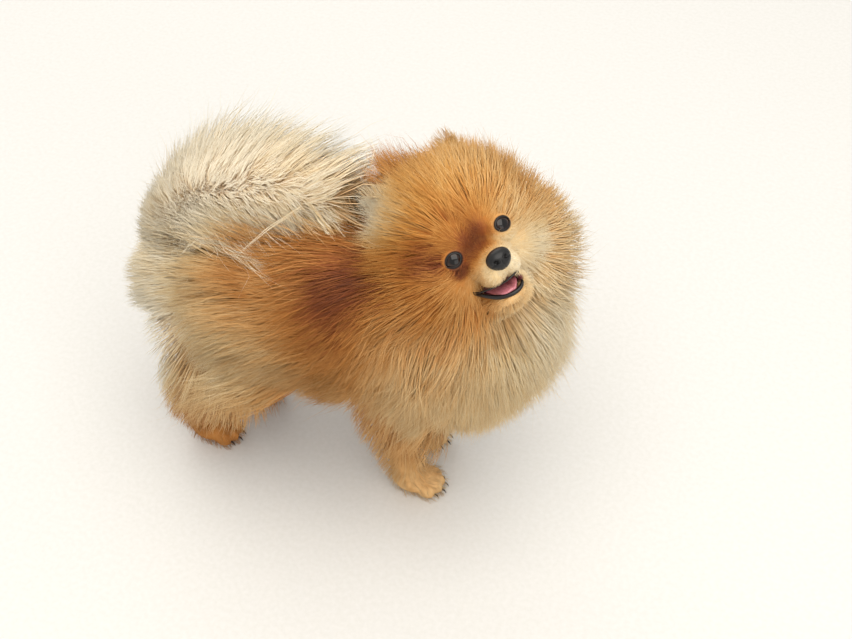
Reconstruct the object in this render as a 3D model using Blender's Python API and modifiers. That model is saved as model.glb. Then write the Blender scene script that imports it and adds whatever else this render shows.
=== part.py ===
"""A standing Pomeranian, life size, its head turned to its right and raised.

The dog faces +X with its left side towards +Y, and stands on the plane z = 0. The head has axes of its
own: forward along the muzzle, left through the left eye, and up through the crown, from the point midway
between the eyes. Each part of the body is one closed solid. Where two parts meet they stay GAP apart.
"""

import math

import bmesh
import bpy
import numpy as np
from mathutils import Matrix, Vector
from mathutils.bvhtree import BVHTree

CM = 0.01
GAP = 0.03 * CM
FLOOR_BLOCK = (0.8, 0.8, 0.1)

HEAD_ORIGIN = np.array((10.23, -1.24, 28.43)) * CM
HEAD_FORWARD = np.array((0.412, -0.595, 0.694))
HEAD_UP = np.array((-0.701, 0.280, 0.656))

EYE_SPACING = 3.8 * CM
EYE_RADIUS = 0.86 * CM
EYE_DEPTH = 0.42 * CM
EYE_TURN = 0.24
EYE_LIFT = 0.06
EYE_SLANT = 0.12
EYE_OPENING = (0.6, 0.62, 0.5)

SMOOTH_ANGLE = math.radians(40)
CAP_WIDTH, CAP_LENGTH = 0.66, 0.75
SOFTEN_FACTOR = 0.5
SPACE_SIDES = (18, 10)
EAR_SPACE_SIDES = (10, 8)

COAT_ORANGE = (0.50, 0.24, 0.075)
COAT_SAND = (0.62, 0.42, 0.22)
COAT_CREAM = (0.78, 0.66, 0.46)
COAT_RUST = (0.33, 0.13, 0.045)
NOSE_BLACK = (0.012, 0.011, 0.012)
EYE_BROWN = (0.02, 0.010, 0.006)
TONGUE_PINK = (0.55, 0.20, 0.22)


def unit(vector):
    """The vector, or each row of vectors, at length 1."""
    vector = np.asarray(vector, float)
    return vector / np.linalg.norm(vector, axis=-1, keepdims=True)


HEAD_FORWARD = unit(HEAD_FORWARD)
HEAD_LEFT = unit(np.cross(HEAD_UP, HEAD_FORWARD))
HEAD_UP = np.cross(HEAD_FORWARD, HEAD_LEFT)
HEAD_AXES = np.stack((HEAD_FORWARD, HEAD_LEFT, HEAD_UP), axis=1)
BODY_AXES = np.eye(3)


def on_head(x, y, z):
    """A point given in centimetres along the head's axes, as a place in the model."""
    return HEAD_ORIGIN + HEAD_AXES @ (np.array((x, y, z)) * CM)


def on_body(x, y, z):
    """A point given in centimetres in the dog's own frame."""
    return np.array((x, y, z)) * CM


class Ellipsoid:
    """An ellipsoid on three axes, which can be a solid, a cutter, or a space that locks keep to."""

    def __init__(self, centre, radii, axes=BODY_AXES):
        self.centre = np.asarray(centre, float)
        self.radii = np.asarray(radii, float) * CM
        self.axes = np.asarray(axes, float)

    def grown(self, by):
        bigger = Ellipsoid(self.centre, self.radii / CM, self.axes)
        bigger.radii = self.radii + by
        return bigger

    def inside_share(self, points):
        """How far out points are, as a share of the way from the centre to the surface."""
        local = (points - self.centre) @ self.axes
        return np.linalg.norm(local / self.radii, axis=-1)

    def keep_out(self, points, margin):
        """The points, with those inside moved out to the surface and a margin beyond it."""
        bigger = self.grown(margin)
        share = np.maximum(bigger.inside_share(points), 1e-6)[:, None]
        return np.where(share < 1, bigger.centre + (points - bigger.centre) / share, points)

    def keep_in(self, points, margin):
        """The points, with those outside moved in to the surface and a margin within it."""
        smaller = self.grown(-margin)
        share = smaller.inside_share(points)[:, None]
        return np.where(share > 1, smaller.centre + (points - smaller.centre) / share, points)

    def matrix(self):
        turn = Matrix([list(row) for row in self.axes]).to_4x4()
        return Matrix.Translation(Vector(self.centre)) @ turn @ Matrix.Diagonal((*self.radii, 1.0))

    def solid(self, name, segments=20, rings=12):
        mesh = bpy.data.meshes.new(name)
        shape = bmesh.new()
        bmesh.ops.create_uvsphere(shape, u_segments=segments, v_segments=rings, radius=1.0)
        bmesh.ops.transform(shape, matrix=self.matrix(), verts=shape.verts)
        return finished(name, mesh, shape)


def finished(name, mesh, shape):
    """A new object from a bmesh, its faces pointing out."""
    bmesh.ops.recalc_face_normals(shape, faces=shape.faces)
    shape.to_mesh(mesh)
    shape.free()
    made = bpy.data.objects.new(name, mesh)
    bpy.context.scene.collection.objects.link(made)
    return made


def smooth_line(points, steps):
    """Points on a smooth curve through the given rows (Catmull-Rom), steps to each span."""
    rows = np.asarray(points, float)
    ends = np.vstack((2 * rows[0] - rows[1], rows, 2 * rows[-1] - rows[-2]))
    t = np.linspace(0, 1, steps, endpoint=False)[:, None]
    line = []
    for a, b, c, d in zip(ends, ends[1:], ends[2:], ends[3:]):
        line.append(0.5 * (2 * b + (c - a) * t + (2 * a - 5 * b + 4 * c - d) * t**2
                           + (3 * b - a - 3 * c + d) * t**3))
    return np.vstack(line + [rows[-1:]])


def ring_loft(name, centres, side, lift, angles):
    """A closed loft: a ring of points round each centre, at the given angles, and a pole at each end.

    side and lift hold, for each ring, the two half-axes of its ellipse as vectors."""
    shape = bmesh.new()
    loops = []
    for centre, across, up in zip(centres[1:-1], side[1:-1], lift[1:-1]):
        ring = [centre + math.cos(a) * across + math.sin(a) * up for a in angles]
        loops.append([shape.verts.new(Vector(p)) for p in ring])
    first, last = (shape.verts.new(Vector(p)) for p in (centres[0], centres[-1]))
    for k in range(len(angles)):
        n = (k + 1) % len(angles)
        shape.faces.new((first, loops[0][n], loops[0][k]))
        shape.faces.new((last, loops[-1][k], loops[-1][n]))
        for a, b in zip(loops, loops[1:]):
            shape.faces.new((a[k], a[n], b[n], b[k]))
    return finished(name, bpy.data.meshes.new(name), shape)


def limb(name, stations, sides=12, steps=2, grow=0.0, across=(0, 1, 0)):
    """A rounded limb through stations (x, y, z, half width, half depth), in centimetres."""
    rows = smooth_line(stations, steps) * CM
    rows[:, 3:] += grow
    along = unit(np.gradient(rows[:, :3], axis=0))
    width = unit(np.cross(np.cross(along, across), along))
    depth = np.cross(along, width)
    cap = rows[:, 3:].min(axis=1)
    centres = [rows[0, :3] - along[0] * cap[0], rows[0, :3] - along[0] * cap[0] * CAP_LENGTH]
    centres += list(rows[:, :3])
    centres += [rows[-1, :3] + along[-1] * cap[-1] * CAP_LENGTH, rows[-1, :3] + along[-1] * cap[-1]]
    ends = [0, CAP_WIDTH] + [1.0] * len(rows) + [CAP_WIDTH, 0]
    picked = [0, 0] + list(range(len(rows))) + [len(rows) - 1] * 2
    side = [width[i] * rows[i, 3] * e for i, e in zip(picked, ends)]
    lift = [depth[i] * rows[i, 4] * e for i, e in zip(picked, ends)]
    return ring_loft(name, centres, side, lift, np.arange(sides) * (2 * math.pi / sides))


def evaluated_mesh(obj):
    """The object's mesh with its modifiers, as a new mesh."""
    bpy.context.view_layer.update()
    graph = bpy.context.evaluated_depsgraph_get()
    return bpy.data.meshes.new_from_object(obj.evaluated_get(graph))


def apply_modifiers(obj):
    old = obj.data
    obj.data = evaluated_mesh(obj)
    obj.modifiers.clear()
    bpy.data.meshes.remove(old)
    return obj


def discard(objects):
    for obj in list(objects):
        mesh = obj.data
        bpy.data.objects.remove(obj)
        if not mesh.users:
            bpy.data.meshes.remove(mesh)


def combine(obj, others, operation, solver="MANIFOLD"):
    """A Boolean of obj with a collection of closed meshes, which are removed afterwards."""
    group = bpy.data.collections.new(obj.name + "_" + operation.lower())
    for other in others:
        group.objects.link(other)
    boolean = obj.modifiers.new(operation, "BOOLEAN")
    boolean.operation = operation
    boolean.solver = solver
    boolean.operand_type = "COLLECTION"
    boolean.collection = group
    apply_modifiers(obj)
    discard(others)
    bpy.data.collections.remove(group)
    return obj


def union(obj, others):
    return combine(obj, others, "UNION")


def cut(obj, *others):
    return combine(obj, others, "DIFFERENCE")


def common(obj, other):
    return combine(obj, [other], "INTERSECT")


def blended(name, pieces, voxel, smoothing, triangles):
    """Overlapping closed shapes melted into one smooth body of about that many triangles."""
    whole = bmesh.new()
    for piece in pieces:
        whole.from_mesh(piece.data)
    discard(pieces)
    body = finished(name, bpy.data.meshes.new(name), whole)
    remesh = body.modifiers.new("melt", "REMESH")
    remesh.mode = "VOXEL"
    remesh.voxel_size = voxel
    soften = body.modifiers.new("soften", "SMOOTH")
    soften.factor = SOFTEN_FACTOR
    soften.iterations = smoothing
    apply_modifiers(body)
    reduce = body.modifiers.new("reduce", "DECIMATE")
    reduce.ratio = triangles / sum(len(face.vertices) - 2 for face in body.data.polygons)
    return apply_modifiers(body)


def largest_body(obj):
    """Keeps the largest closed surface of the object's mesh, and welds what a cut left doubled."""
    shape = bmesh.new()
    shape.from_mesh(obj.data)
    bmesh.ops.triangulate(shape, faces=shape.faces)
    left = set(shape.faces)
    shells = []
    while left:
        edge_of = [left.pop()]
        shell = list(edge_of)
        while edge_of:
            face = edge_of.pop()
            for edge in face.edges:
                for other in edge.link_faces:
                    if other in left:
                        left.remove(other)
                        shell.append(other)
                        edge_of.append(other)
        shells.append(shell)

    def volume(shell):
        return abs(sum(f.verts[0].co.dot(f.verts[1].co.cross(f.verts[2].co)) for f in shell))

    shells.sort(key=volume, reverse=True)
    for shell in shells[1:]:
        bmesh.ops.delete(shape, geom=shell, context="FACES")
    loose = [vert for vert in shape.verts if not vert.link_faces]
    bmesh.ops.delete(shape, geom=loose, context="VERTS")
    shape.to_mesh(obj.data)
    shape.free()
    return obj


def material(name, colour, roughness):
    made = bpy.data.materials.new(name)
    made.use_nodes = True
    shader = made.node_tree.nodes["Principled BSDF"]
    shader.inputs["Base Color"].default_value = (*colour, 1.0)
    shader.inputs["Roughness"].default_value = roughness
    shader.inputs["Metallic"].default_value = 0.0
    return made


def dress(obj, finish, name):
    """Names the finished part and gives it its material."""
    obj.name = name
    obj.data.name = name
    obj.data.materials.clear()
    obj.data.materials.append(finish)
    obj.data.shade_smooth()
    obj.data.set_sharp_from_angle(angle=SMOOTH_ANGLE)
    return obj

# Stations along each form: x, y, z, half width and half depth in centimetres, at the skin and at the coat's tips.
TORSO_SKIN = ((7.6, 0, 16.3, 3.7, 4.4), (5, 0, 16.0, 4.3, 5.4), (0, 0, 16.2, 4.2, 5.0),
              (-5, 0, 16.8, 3.9, 4.4), (-9.5, 0, 17.0, 4.2, 4.5), (-12.2, 0, 17.0, 2.9, 3.2))
TORSO_TIPS = ((7.6, 0, 17.0, 8.4, 8.2), (5, 0, 17.2, 8.5, 8.0), (0, 0, 18.0, 8.3, 6.9),
              (-5, 0, 18.1, 8.3, 6.8), (-9.0, 0, 17.5, 8.6, 7.4), (-11.8, 0, 17.0, 6.4, 6.4))
NECK_SKIN = ((4.5, 0, 18.0, 4.3, 4.3), (7.2, 0.3, 21.3, 3.8, 3.8), (8.6, 1.0, 24.4, 3.3, 3.3))
NECK_TIPS = ((4.5, 0.4, 18.6, 8.6, 6.6), (6.6, 2.2, 22.4, 8.6, 6.8), (7.6, 3.8, 25.4, 6.6, 5.4))
CHEST_SKIN = ((8.4, 0, 14.6, 2.9, 3.2), (9.3, 0.2, 17.2, 3.2, 3.4), (9.2, 0.4, 20.5, 3.2, 3.2))
CHEST_TIPS = ((9.4, 0.8, 13.6, 7.2, 5.8), (10.2, 1.6, 17.6, 8.8, 7.2), (10.4, 3.2, 21.4, 8.4, 6.2))
TAIL_SKIN = ((-13.4, 0, 18.0, 1.1, 1.1), (-13.4, 0.3, 22.4, 1.0, 1.0), (-10.8, 0.8, 25.2, 0.9, 0.9),
             (-6.8, 1.2, 26.3, 0.7, 0.7), (-3.8, 1.5, 26.1, 0.5, 0.5), (-2.2, 1.7, 25.8, 0.35, 0.35))
TAIL_TIPS = ((-13.4, 0.4, 17.6, 2.8, 2.6), (-13.4, 2.0, 21.6, 5.2, 3.4), (-11.0, 3.2, 24.6, 6.2, 3.8),
             (-7.2, 3.8, 26.0, 6.4, 3.6), (-3.6, 4.0, 26.0, 5.6, 3.2), (-1.4, 4.2, 25.6, 3.6, 2.4))

# One leg's stations, from inside the body down to the wrist or hock: ahead of the foot's centre, out from it, up.
FORELEG_SKIN = ((-0.4, 0.2, 15.0, 2.5, 2.6), (-1.6, -0.1, 10.5, 1.7, 1.9), (-0.9, 0, 6.5, 1.2, 1.3),
                (-0.6, 0, 3.0, 1.15, 1.2), (-0.2, 0, 1.8, 1.2, 1.3))
FORELEG_TIPS = ((-0.6, 0.8, 15.0, 3.4, 4.2), (-1.4, 0.6, 10.5, 3.2, 3.8), (-1.1, 0.2, 6.8, 2.7, 3.3),
                (-0.7, 0, 3.6, 2.2, 2.6), (-0.2, 0, 2.0, 1.9, 2.1))
HINDLEG_SKIN = ((2.4, 0.2, 15.5, 3.0, 3.8), (3.6, 1.0, 10.8, 2.2, 2.7), (0.2, 0, 7.6, 1.35, 1.6),
                (-1.4, 0, 5.2, 1.1, 1.2), (-0.9, 0, 2.4, 1.1, 1.15))
HINDLEG_TIPS = ((2.4, 0.2, 15.5, 4.8, 6.4), (2.8, 1.6, 11.0, 4.6, 6.0), (1.4, 1.2, 8.2, 4.0, 4.6),
                (-0.8, 0.4, 5.2, 2.8, 2.9), (-0.8, 0, 2.6, 2.0, 2.1))
FEET = {"foreleg_right": (5.7, -2.3), "foreleg_left": (4.6, 2.5),
        "hindleg_right": (-12.2, -2.5), "hindleg_left": (-10.6, 2.8)}
PAW = ((0.3, 0, 1.25), (2.1, 1.75, 1.35))
TOES = ((1.55, -0.95, 0.95), (2.0, -0.35, 1.05), (2.0, 0.35, 1.05), (1.55, 0.95, 0.95))
TOE_RADII = (0.85, 0.5, 0.95)
PAW_BARE = {"foreleg": 3.2 * CM, "hindleg": 4.0 * CM}

TAIL_ACROSS = (0.2, 1, 0.1)
HULL_VOXEL = 0.4 * CM
HULL_TRIANGLES = 12000

# The dense core of the coat stands this share of the way from the skin to the tips, and the locks grow from it.
COAT_SHARE = 0.48

# Each coat's spacing of roots, least and greatest length of a lock and its width in centimetres, its lift off
# the lie in degrees, and its number of rings.
COATS = {
    "torso": (3.05, 4.4, 8.0, 3.0, 26, 3),
    "neck": (2.8, 4.2, 6.8, 3.1, 36, 3),
    "tail": (2.0, 4.4, 9.0, 2.7, 36, 3),
    "foreleg": (2.9, 2.8, 4.8, 2.2, 20, 2),
    "hindleg": (3.2, 3.6, 6.4, 2.9, 24, 2),
    "head": (2.3, 3.0, 5.6, 2.5, 34, 2),
}
# By its number of rings, a lock's steps from root to tip, and its rings' widths and depths as shares.
LOCKS = {
    2: ((0.26, 0.34, 0.4), (1.0, 0.6), (1.0, 0.6)),
    3: ((0.22, 0.26, 0.26, 0.26), (0.88, 1.0, 0.5), (1.0, 0.86, 0.5)),
}
TORSO_LIE, LEG_LIE = (-1.0, 0, -0.5), (-0.45, 0, -1.0)
RUFF_DROOP = (0, 0, -0.45)
TAIL_FAN = 0.9
LOCK_SECTION = (0, math.pi / 2, math.pi)
LOCK_THICKNESS = 0.45
LOCK_SUNK = 0.5
LOCK_BEND = 0.25
LOCK_SWAY = 1.6
LOCK_VARIES = 0.16
LOCK_CLEAR = 0.34 * CM
LOCK_FLOOR = 1.0 * CM
TRIES_PER_SPOT = 60
SEED = 11
SORT_DIGITS = 7

# Spaces that part the body's nodes, as ellipsoids: centre and half-axes in centimetres.
TORSO_SPACE = Ellipsoid(on_body(-6.2, 0, 16.6), (12.8, 10.4, 9.0))
HEAD_SPACE = Ellipsoid(on_head(-2.6, 0.1, 0.5), (6.4, 6.8, 7.1), HEAD_AXES)
TAIL_SPACE = Ellipsoid(on_body(-9.4, 3.2, 25.2), (9.4, 9.4, 6.4))
TAIL_ROOT_SPACE = Ellipsoid(on_body(-13.4, 0.1, 20.6), (2.6, 2.6, 5.0))
FORELEG_SPACE = ((-0.5, 0.7, 6.0), (5.0, 2.9, 9.0))
HINDLEG_SPACE = ((1.2, 2.1, 7.0), (6.8, 4.4, 9.4))


def leg_space(name):
    """The space that one leg keeps to, from inside the trunk to its paw."""
    x, y = FEET[name]
    (ahead, out, up), radii = FORELEG_SPACE if name.startswith("fore") else HINDLEG_SPACE
    return Ellipsoid(on_body(x + ahead, y + math.copysign(out, y), up), radii)


def between(skin, tips, share):
    """Stations part of the way from the skin's to those of the coat's tips."""
    skin, tips = np.array(skin, float), np.array(tips, float)
    return skin + (tips - skin) * share


def placed_leg(stations, name):
    """A leg's stations, moved to where its foot stands."""
    x, y = FEET[name]
    side = 1 if y > 0 else -1
    return [(x + ahead, y + side * out, up, across, deep) for ahead, out, up, across, deep in stations]


WITHERS_TIPS = ((0.1, 4.9, 23.6), (4.2, 4.2, 4.2))

# The head's forms, in centimetres on its own axes: centre, then half-axes.
SKULL_SKIN = ((-3.9, 0, 0.6), (3.9, 3.7, 3.6))
SKULL_TIPS = ((-4.4, 0.3, 0.2), (4.8, 7.2, 7.4))
NAPE_SKIN = ((-5.4, 0, -2.2), (3.4, 3.4, 3.6))
MANE_TIPS = ((-4.9, 0.35, -2.4), (4.0, 8.2, 8.2))
BROW = ((-1.5, 1.1, 0.9), (1.9, 1.9, 1.9))
CHEEK = ((-2.9, 2.3, -1.5), (2.9, 2.9, 2.9))
MUZZLE = ((-1.6, 0, -1.2, 2.0, 1.9), (0.3, 0, -1.45, 1.55, 1.25),
          (1.5, 0, -1.62, 1.25, 1.0), (2.05, 0, -1.68, 1.05, 0.88))
FLEWS = ((0.8, 0.66, -2.0), (1.65, 0.78, 0.84))
JAW = ((-2.6, -0.1, -3.6, 1.8, 1.0), (-0.6, -0.2, -3.95, 1.45, 0.8), (0.7, -0.25, -4.25, 1.1, 0.56),
       (1.2, -0.25, -4.32, 0.85, 0.44))
TONGUE = ((-1.6, -0.3, -3.1, 0.9, 0.32), (0.2, -0.25, -3.4, 0.82, 0.26), (1.2, -0.2, -3.62, 0.7, 0.2))
MOUTH = ((-2.3, -0.3, -2.8, 1.6, 0.6), (-0.2, -0.3, -3.08, 1.4, 0.64), (2.0, -0.25, -3.4, 1.2, 0.66),
         (4.2, -0.2, -3.7, 1.2, 0.75))
NOSE = ((2.65, 0, -1.35), (0.62, 0.9, 0.66))
NOSTRIL = ((3.15, 0.42, -1.38), (0.42, 0.2, 0.22))
LID_THICKNESS = 0.2
LID_OPENING_AHEAD = 0.95 * EYE_RADIUS
EAR_BASE = (-3.3, 2.3, 2.9)
EAR_TIP = (-4.6, 3.8, 7.1)
EAR_WIDTH, EAR_DEPTH, EAR_WALL = 1.5, 0.8, 0.25
EAR_TURN = 0.45
EAR_CUP = (1.3, 0.84, 0.3)
EAR_SPACE_FORM = (0.1, 0.05, 0.35, 0.78)
EAR_ROWS = ((-0.2, 1.0, 1.1), (0.3, 1.04, 1.1), (0.66, 0.84, 0.9), (0.96, 0.16, 0.3))
FACE_EDGE = -1.6
HEAD_VOXEL = 0.14 * CM
HEAD_TRIANGLES = 900


def core_ball(skin, tips, share):
    """The ellipsoid that lies that share of the way from a form's skin to its tips."""
    return [between(inner, outer, share) for inner, outer in zip(skin, tips)]


def head_ball(name, form, side=1, segments=20, rings=12):
    (x, y, z), radii = form
    return Ellipsoid(on_head(x, side * y, z), radii, HEAD_AXES).solid(name, segments, rings)


def head_limb(name, stations, sides=12, grow=0.0):
    """A limb whose stations are given on the head's axes."""
    rows = [(*(on_head(*row[:3]) / CM), *row[3:]) for row in stations]
    return limb(name, rows, sides, 2, grow, across=HEAD_LEFT)


def eye_place(side):
    return on_head(-EYE_DEPTH / CM, side * EYE_SPACING / CM / 2, 0)


def eye_axes(side):
    """An eye's axes: out through the pupil, along the slit of the lids, and up."""
    out = unit(HEAD_FORWARD + side * EYE_TURN * HEAD_LEFT + EYE_LIFT * HEAD_UP)
    slit = unit(np.cross(HEAD_UP + side * EYE_SLANT * HEAD_LEFT, out))
    return np.stack((out, slit, np.cross(out, slit)), axis=1)


def face(points):
    """Whether each point is on the face, where the coat is too short for locks."""
    local = (points - HEAD_ORIGIN) @ HEAD_AXES / CM
    return local[:, 0] > FACE_EDGE


def make_head(share, hull):
    pieces = [head_ball("skull", core_ball(SKULL_SKIN, SKULL_TIPS, share)), head_limb("muzzle", MUZZLE)]
    for side in (1, -1):
        pieces += [head_ball("form", form, side) for form in (BROW, CHEEK, FLEWS)]
        pieces.append(Ellipsoid(eye_place(side), np.full(3, EYE_RADIUS / CM + LID_THICKNESS)).solid("lids", 16, 12))
    head = blended("head", pieces, HEAD_VOXEL, 6, HEAD_TRIANGLES)
    ears = [ear_space(side) for side in (1, -1)]
    grow_locks(head, "head", hull, [HEAD_SPACE], ears, face)
    kept_inside(head, HEAD_SPACE)
    for space in ears:
        kept_outside(head, space, EAR_SPACE_SIDES)
    for side in (1, -1):
        axes = eye_axes(side)
        opening = Ellipsoid(eye_place(side) + axes[:, 0] * LID_OPENING_AHEAD, EYE_OPENING, axes)
        socket = Ellipsoid(eye_place(side), np.full(3, (EYE_RADIUS + GAP) / CM))
        cut(head, opening.solid("opening", 12, 8))
        cut(head, socket.solid("socket", 16, 10))
    cut(head, head_limb("mouth", MOUTH, 10))
    cut(head, head_limb("jaw_space", JAW, grow=GAP))
    cut(head, Ellipsoid(on_head(*NOSE[0]), np.array(NOSE[1]) + GAP / CM, HEAD_AXES).solid("nose_space", 16, 10))
    return head


def make_jaw():
    jaw = head_limb("lower_jaw", JAW)
    return cut(jaw, head_limb("tongue_space", TONGUE, grow=GAP))


def make_nose():
    nose = head_ball("nose", NOSE, 1, 16, 10)
    cut(nose, *(head_ball("nostril", NOSTRIL, side, 8, 6) for side in (1, -1)))
    return nose


def ear_frame(side):
    """An ear's root, its height, and its axes: the way the cup faces, across, and up to the tip."""
    base = on_head(EAR_BASE[0], side * EAR_BASE[1], EAR_BASE[2])
    tip = on_head(EAR_TIP[0], side * EAR_TIP[1], EAR_TIP[2])
    up = unit(tip - base)
    front = unit(HEAD_FORWARD + side * EAR_TURN * HEAD_LEFT)
    front = unit(front - up * (front @ up))
    return base, np.linalg.norm(tip - base), np.stack((front, np.cross(up, front), up), axis=1)


def ear_space(side):
    base, height, axes = ear_frame(side)
    deeper, wider, up, tall = EAR_SPACE_FORM
    radii = (EAR_DEPTH + deeper, EAR_WIDTH + wider, height / CM * tall)
    return Ellipsoid(base + axes[:, 2] * height * up, radii, axes)


def make_ear(side):
    """A pricked ear: a leaf with a hollow front, its root let into the crown."""
    base, height, axes = ear_frame(side)
    name = "ear_left" if side > 0 else "ear_right"
    stations = [(*((base + axes[:, 2] * height * share) / CM), EAR_WIDTH * wide, EAR_DEPTH * deep)
                for share, wide, deep in EAR_ROWS]
    ear = limb(name, stations, 12, 1, 0.0, across=axes[:, 1])
    cup_ahead, cup_up, cup_tall = EAR_CUP
    cup = Ellipsoid(base + axes[:, 0] * EAR_DEPTH * cup_ahead * CM + axes[:, 2] * height * cup_up,
                    (EAR_DEPTH, EAR_WIDTH - EAR_WALL, height / CM * cup_tall), axes)
    cut(ear, cup.solid("cup", 12, 8))
    return kept_inside(ear, ear_space(side), EAR_SPACE_SIDES)


def lie_of(coat, points):
    """The way the hair lies at each point: back and down on the body, away from the face on the ruff and head."""
    if coat == "neck":
        return unit(points - HEAD_SPACE.centre) + RUFF_DROOP
    if coat == "tail":
        bone = smooth_line(TAIL_SKIN, 6)[:, :3] * CM
        nearest = np.linalg.norm(points[:, None] - bone, axis=2).argmin(axis=1)
        along = unit(np.gradient(bone, axis=0))[nearest]
        return along + TAIL_FAN * unit(points - bone[nearest])
    if coat == "head":
        return unit(points - on_head(*NOSE[0]))
    return np.tile(TORSO_LIE if coat == "torso" else LEG_LIE, (len(points), 1))


def surface_spots(obj, spacing, allowed, rng):
    """Points spread evenly over a mesh, at least spacing apart, each with the normal of its face."""
    mesh = obj.data
    mesh.calc_loop_triangles()
    corners = np.array([[mesh.vertices[i].co for i in tri.vertices] for tri in mesh.loop_triangles])
    # A union may give its triangles in any order, so they are put in one that their places alone decide.
    for tri in corners:
        tri[:] = np.roll(tri, -min(range(3), key=lambda i: tuple(tri[i])), axis=0)
    corners = corners[np.lexsort(corners.reshape(-1, 9).round(SORT_DIGITS).T)]
    normals = np.cross(corners[:, 1] - corners[:, 0], corners[:, 2] - corners[:, 0])
    sizes = np.linalg.norm(normals, axis=1)
    tries = int(TRIES_PER_SPOT * sizes.sum() / 2 / spacing**2)
    picked = rng.choice(len(corners), tries, p=sizes / sizes.sum())
    shares = rng.dirichlet((1, 1, 1), tries)
    points = (corners[picked] * shares[:, :, None]).sum(axis=1)
    normals = unit(normals[picked])
    chosen = []
    for index in np.flatnonzero(allowed(points)):
        gaps = np.linalg.norm(points[chosen] - points[index], axis=1)
        if not chosen or gaps.min() > spacing:
            chosen.append(index)
    return points[chosen], normals[chosen]


def lock_spine(root, normal, lie, lift, rings):
    """The middle line of a lock of length 1: it leaves the core at its lift and bends towards the lie."""
    along = unit(lie - normal * (lie @ normal))
    heading = along * math.cos(lift) + normal * math.sin(lift)
    spine = [root]
    for step in LOCKS[rings][0]:
        spine.append(spine[-1] + heading * step)
        heading = unit(heading + LOCK_BEND * (along - heading))
    return np.array(spine)


def lock(spine, normal, width, rings):
    """A flat, tapered lock with a low ridge along the spine."""
    ways = unit(np.gradient(spine, axis=0))
    across = unit(np.cross(ways, normal))
    over = np.cross(across, ways)
    widths = np.array((0, *LOCKS[rings][1], 0)) * width / 2
    depths = np.array((0, *LOCKS[rings][2], 0)) * LOCK_THICKNESS * CM
    return ring_loft("lock", spine, across * widths[:, None], over * depths[:, None], LOCK_SECTION)


def grow_locks(core, coat, hull, inside=(), outside=(), bare=None):
    """Fuses a coat of locks with its core, out to the hull of the coat's tips.

    The locks keep inside and outside the given spaces, off the floor, and off the places that are bare."""
    spacing, shortest, longest, width, degrees, rings = COATS[coat]
    rng = np.random.default_rng(SEED + sum(map(ord, core.name)))

    def allowed(points):
        fine = np.ones(len(points), bool) if bare is None else ~bare(points)
        for space in inside:
            fine &= space.grown(-LOCK_CLEAR).inside_share(points) < 1
        for space in outside:
            fine &= space.grown(LOCK_CLEAR).inside_share(points) > 1
        return fine

    def clear(points):
        for space in inside:
            points = space.keep_in(points, LOCK_CLEAR)
        for space in outside:
            points = space.keep_out(points, LOCK_CLEAR)
        return np.maximum(points, (-np.inf, -np.inf, LOCK_FLOOR))

    points, normals = surface_spots(core, spacing * CM, allowed, rng)
    locks = []
    for root, normal, lie in zip(points, normals, lie_of(coat, points)):
        long, wide, tilt, sway = 1 + LOCK_VARIES * rng.uniform(-1, 1, 4)
        turned = lie + (sway - 1) * LOCK_SWAY * np.cross(normal, lie)
        spine = lock_spine(root, normal, turned, math.radians(degrees * tilt), rings)
        chord = spine[-1] - root
        out = hull.ray_cast(Vector(root), Vector(chord))[3] or 0.0
        length = min(max(out / np.linalg.norm(chord), shortest * CM), longest * CM) * long
        spine = root + (spine - root) * length
        sunk = root - (spine[1] - root) * LOCK_SUNK * CM / np.linalg.norm(spine[1] - root)
        locks.append(lock(clear(np.vstack((sunk, spine[1:]))), normal, width * wide * CM, rings))
    return union(core, locks)


def kept_inside(obj, space, sides=SPACE_SIDES):
    return common(obj, space.solid("space", *sides))


def kept_outside(obj, space, sides=SPACE_SIDES):
    return cut(obj, space.grown(GAP).solid("space", *sides))


def make_leg(name, share, hull):
    """A leg with its paw, from inside the trunk to the floor."""
    x, y = FEET[name]
    skin, tips = (FORELEG_SKIN, FORELEG_TIPS) if name.startswith("fore") else (HINDLEG_SKIN, HINDLEG_TIPS)
    leg = limb(name, placed_leg(between(skin, tips, share), name), 10, 2)
    ahead, out, up = PAW[0]
    pieces = [Ellipsoid(on_body(x + ahead, y + out, up), PAW[1]).solid("paw", 12, 7)]
    for ahead, out, up in TOES:
        pieces.append(Ellipsoid(on_body(x + ahead, y + out, up), TOE_RADII).solid("toe", 7, 5))
    union(leg, pieces)
    space = leg_space(name)
    coat = name.split("_")[0]
    grow_locks(leg, coat, hull, [space], bare=lambda points: points[:, 2] < PAW_BARE[coat])
    kept_inside(leg, space)
    return cut(leg, floor_block())


def make_torso(share, hull):
    torso = limb("torso", between(TORSO_SKIN, TORSO_TIPS, share), 18, 1)
    others = [leg_space(name) for name in FEET] + [TAIL_ROOT_SPACE]
    grow_locks(torso, "torso", hull, [TORSO_SPACE], others)
    kept_inside(torso, TORSO_SPACE)
    for space in others:
        kept_outside(torso, space)
    return torso


def make_neck(share, hull):
    """Neck, shoulders and chest with the ruff: all between the head, the torso and the forelegs."""
    neck = limb("neck", between(NECK_SKIN, NECK_TIPS, share), 18, 1)
    union(neck, [limb("chest_form", between(CHEST_SKIN, CHEST_TIPS, share), 18, 1),
                 limb("shoulder_form", between(TORSO_SKIN, TORSO_TIPS, share)[:3], 18, 1),
                 head_ball("mane_form", core_ball(NAPE_SKIN, MANE_TIPS, share))])
    ears = [ear_space(side) for side in (1, -1)]
    spaces = [TORSO_SPACE, HEAD_SPACE, TAIL_SPACE] + [leg_space(name) for name in FEET if "fore" in name]
    grow_locks(neck, "neck", hull, (), spaces + ears)
    for space in spaces:
        kept_outside(neck, space)
    for space in ears:
        kept_outside(neck, space, EAR_SPACE_SIDES)
    return neck


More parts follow.
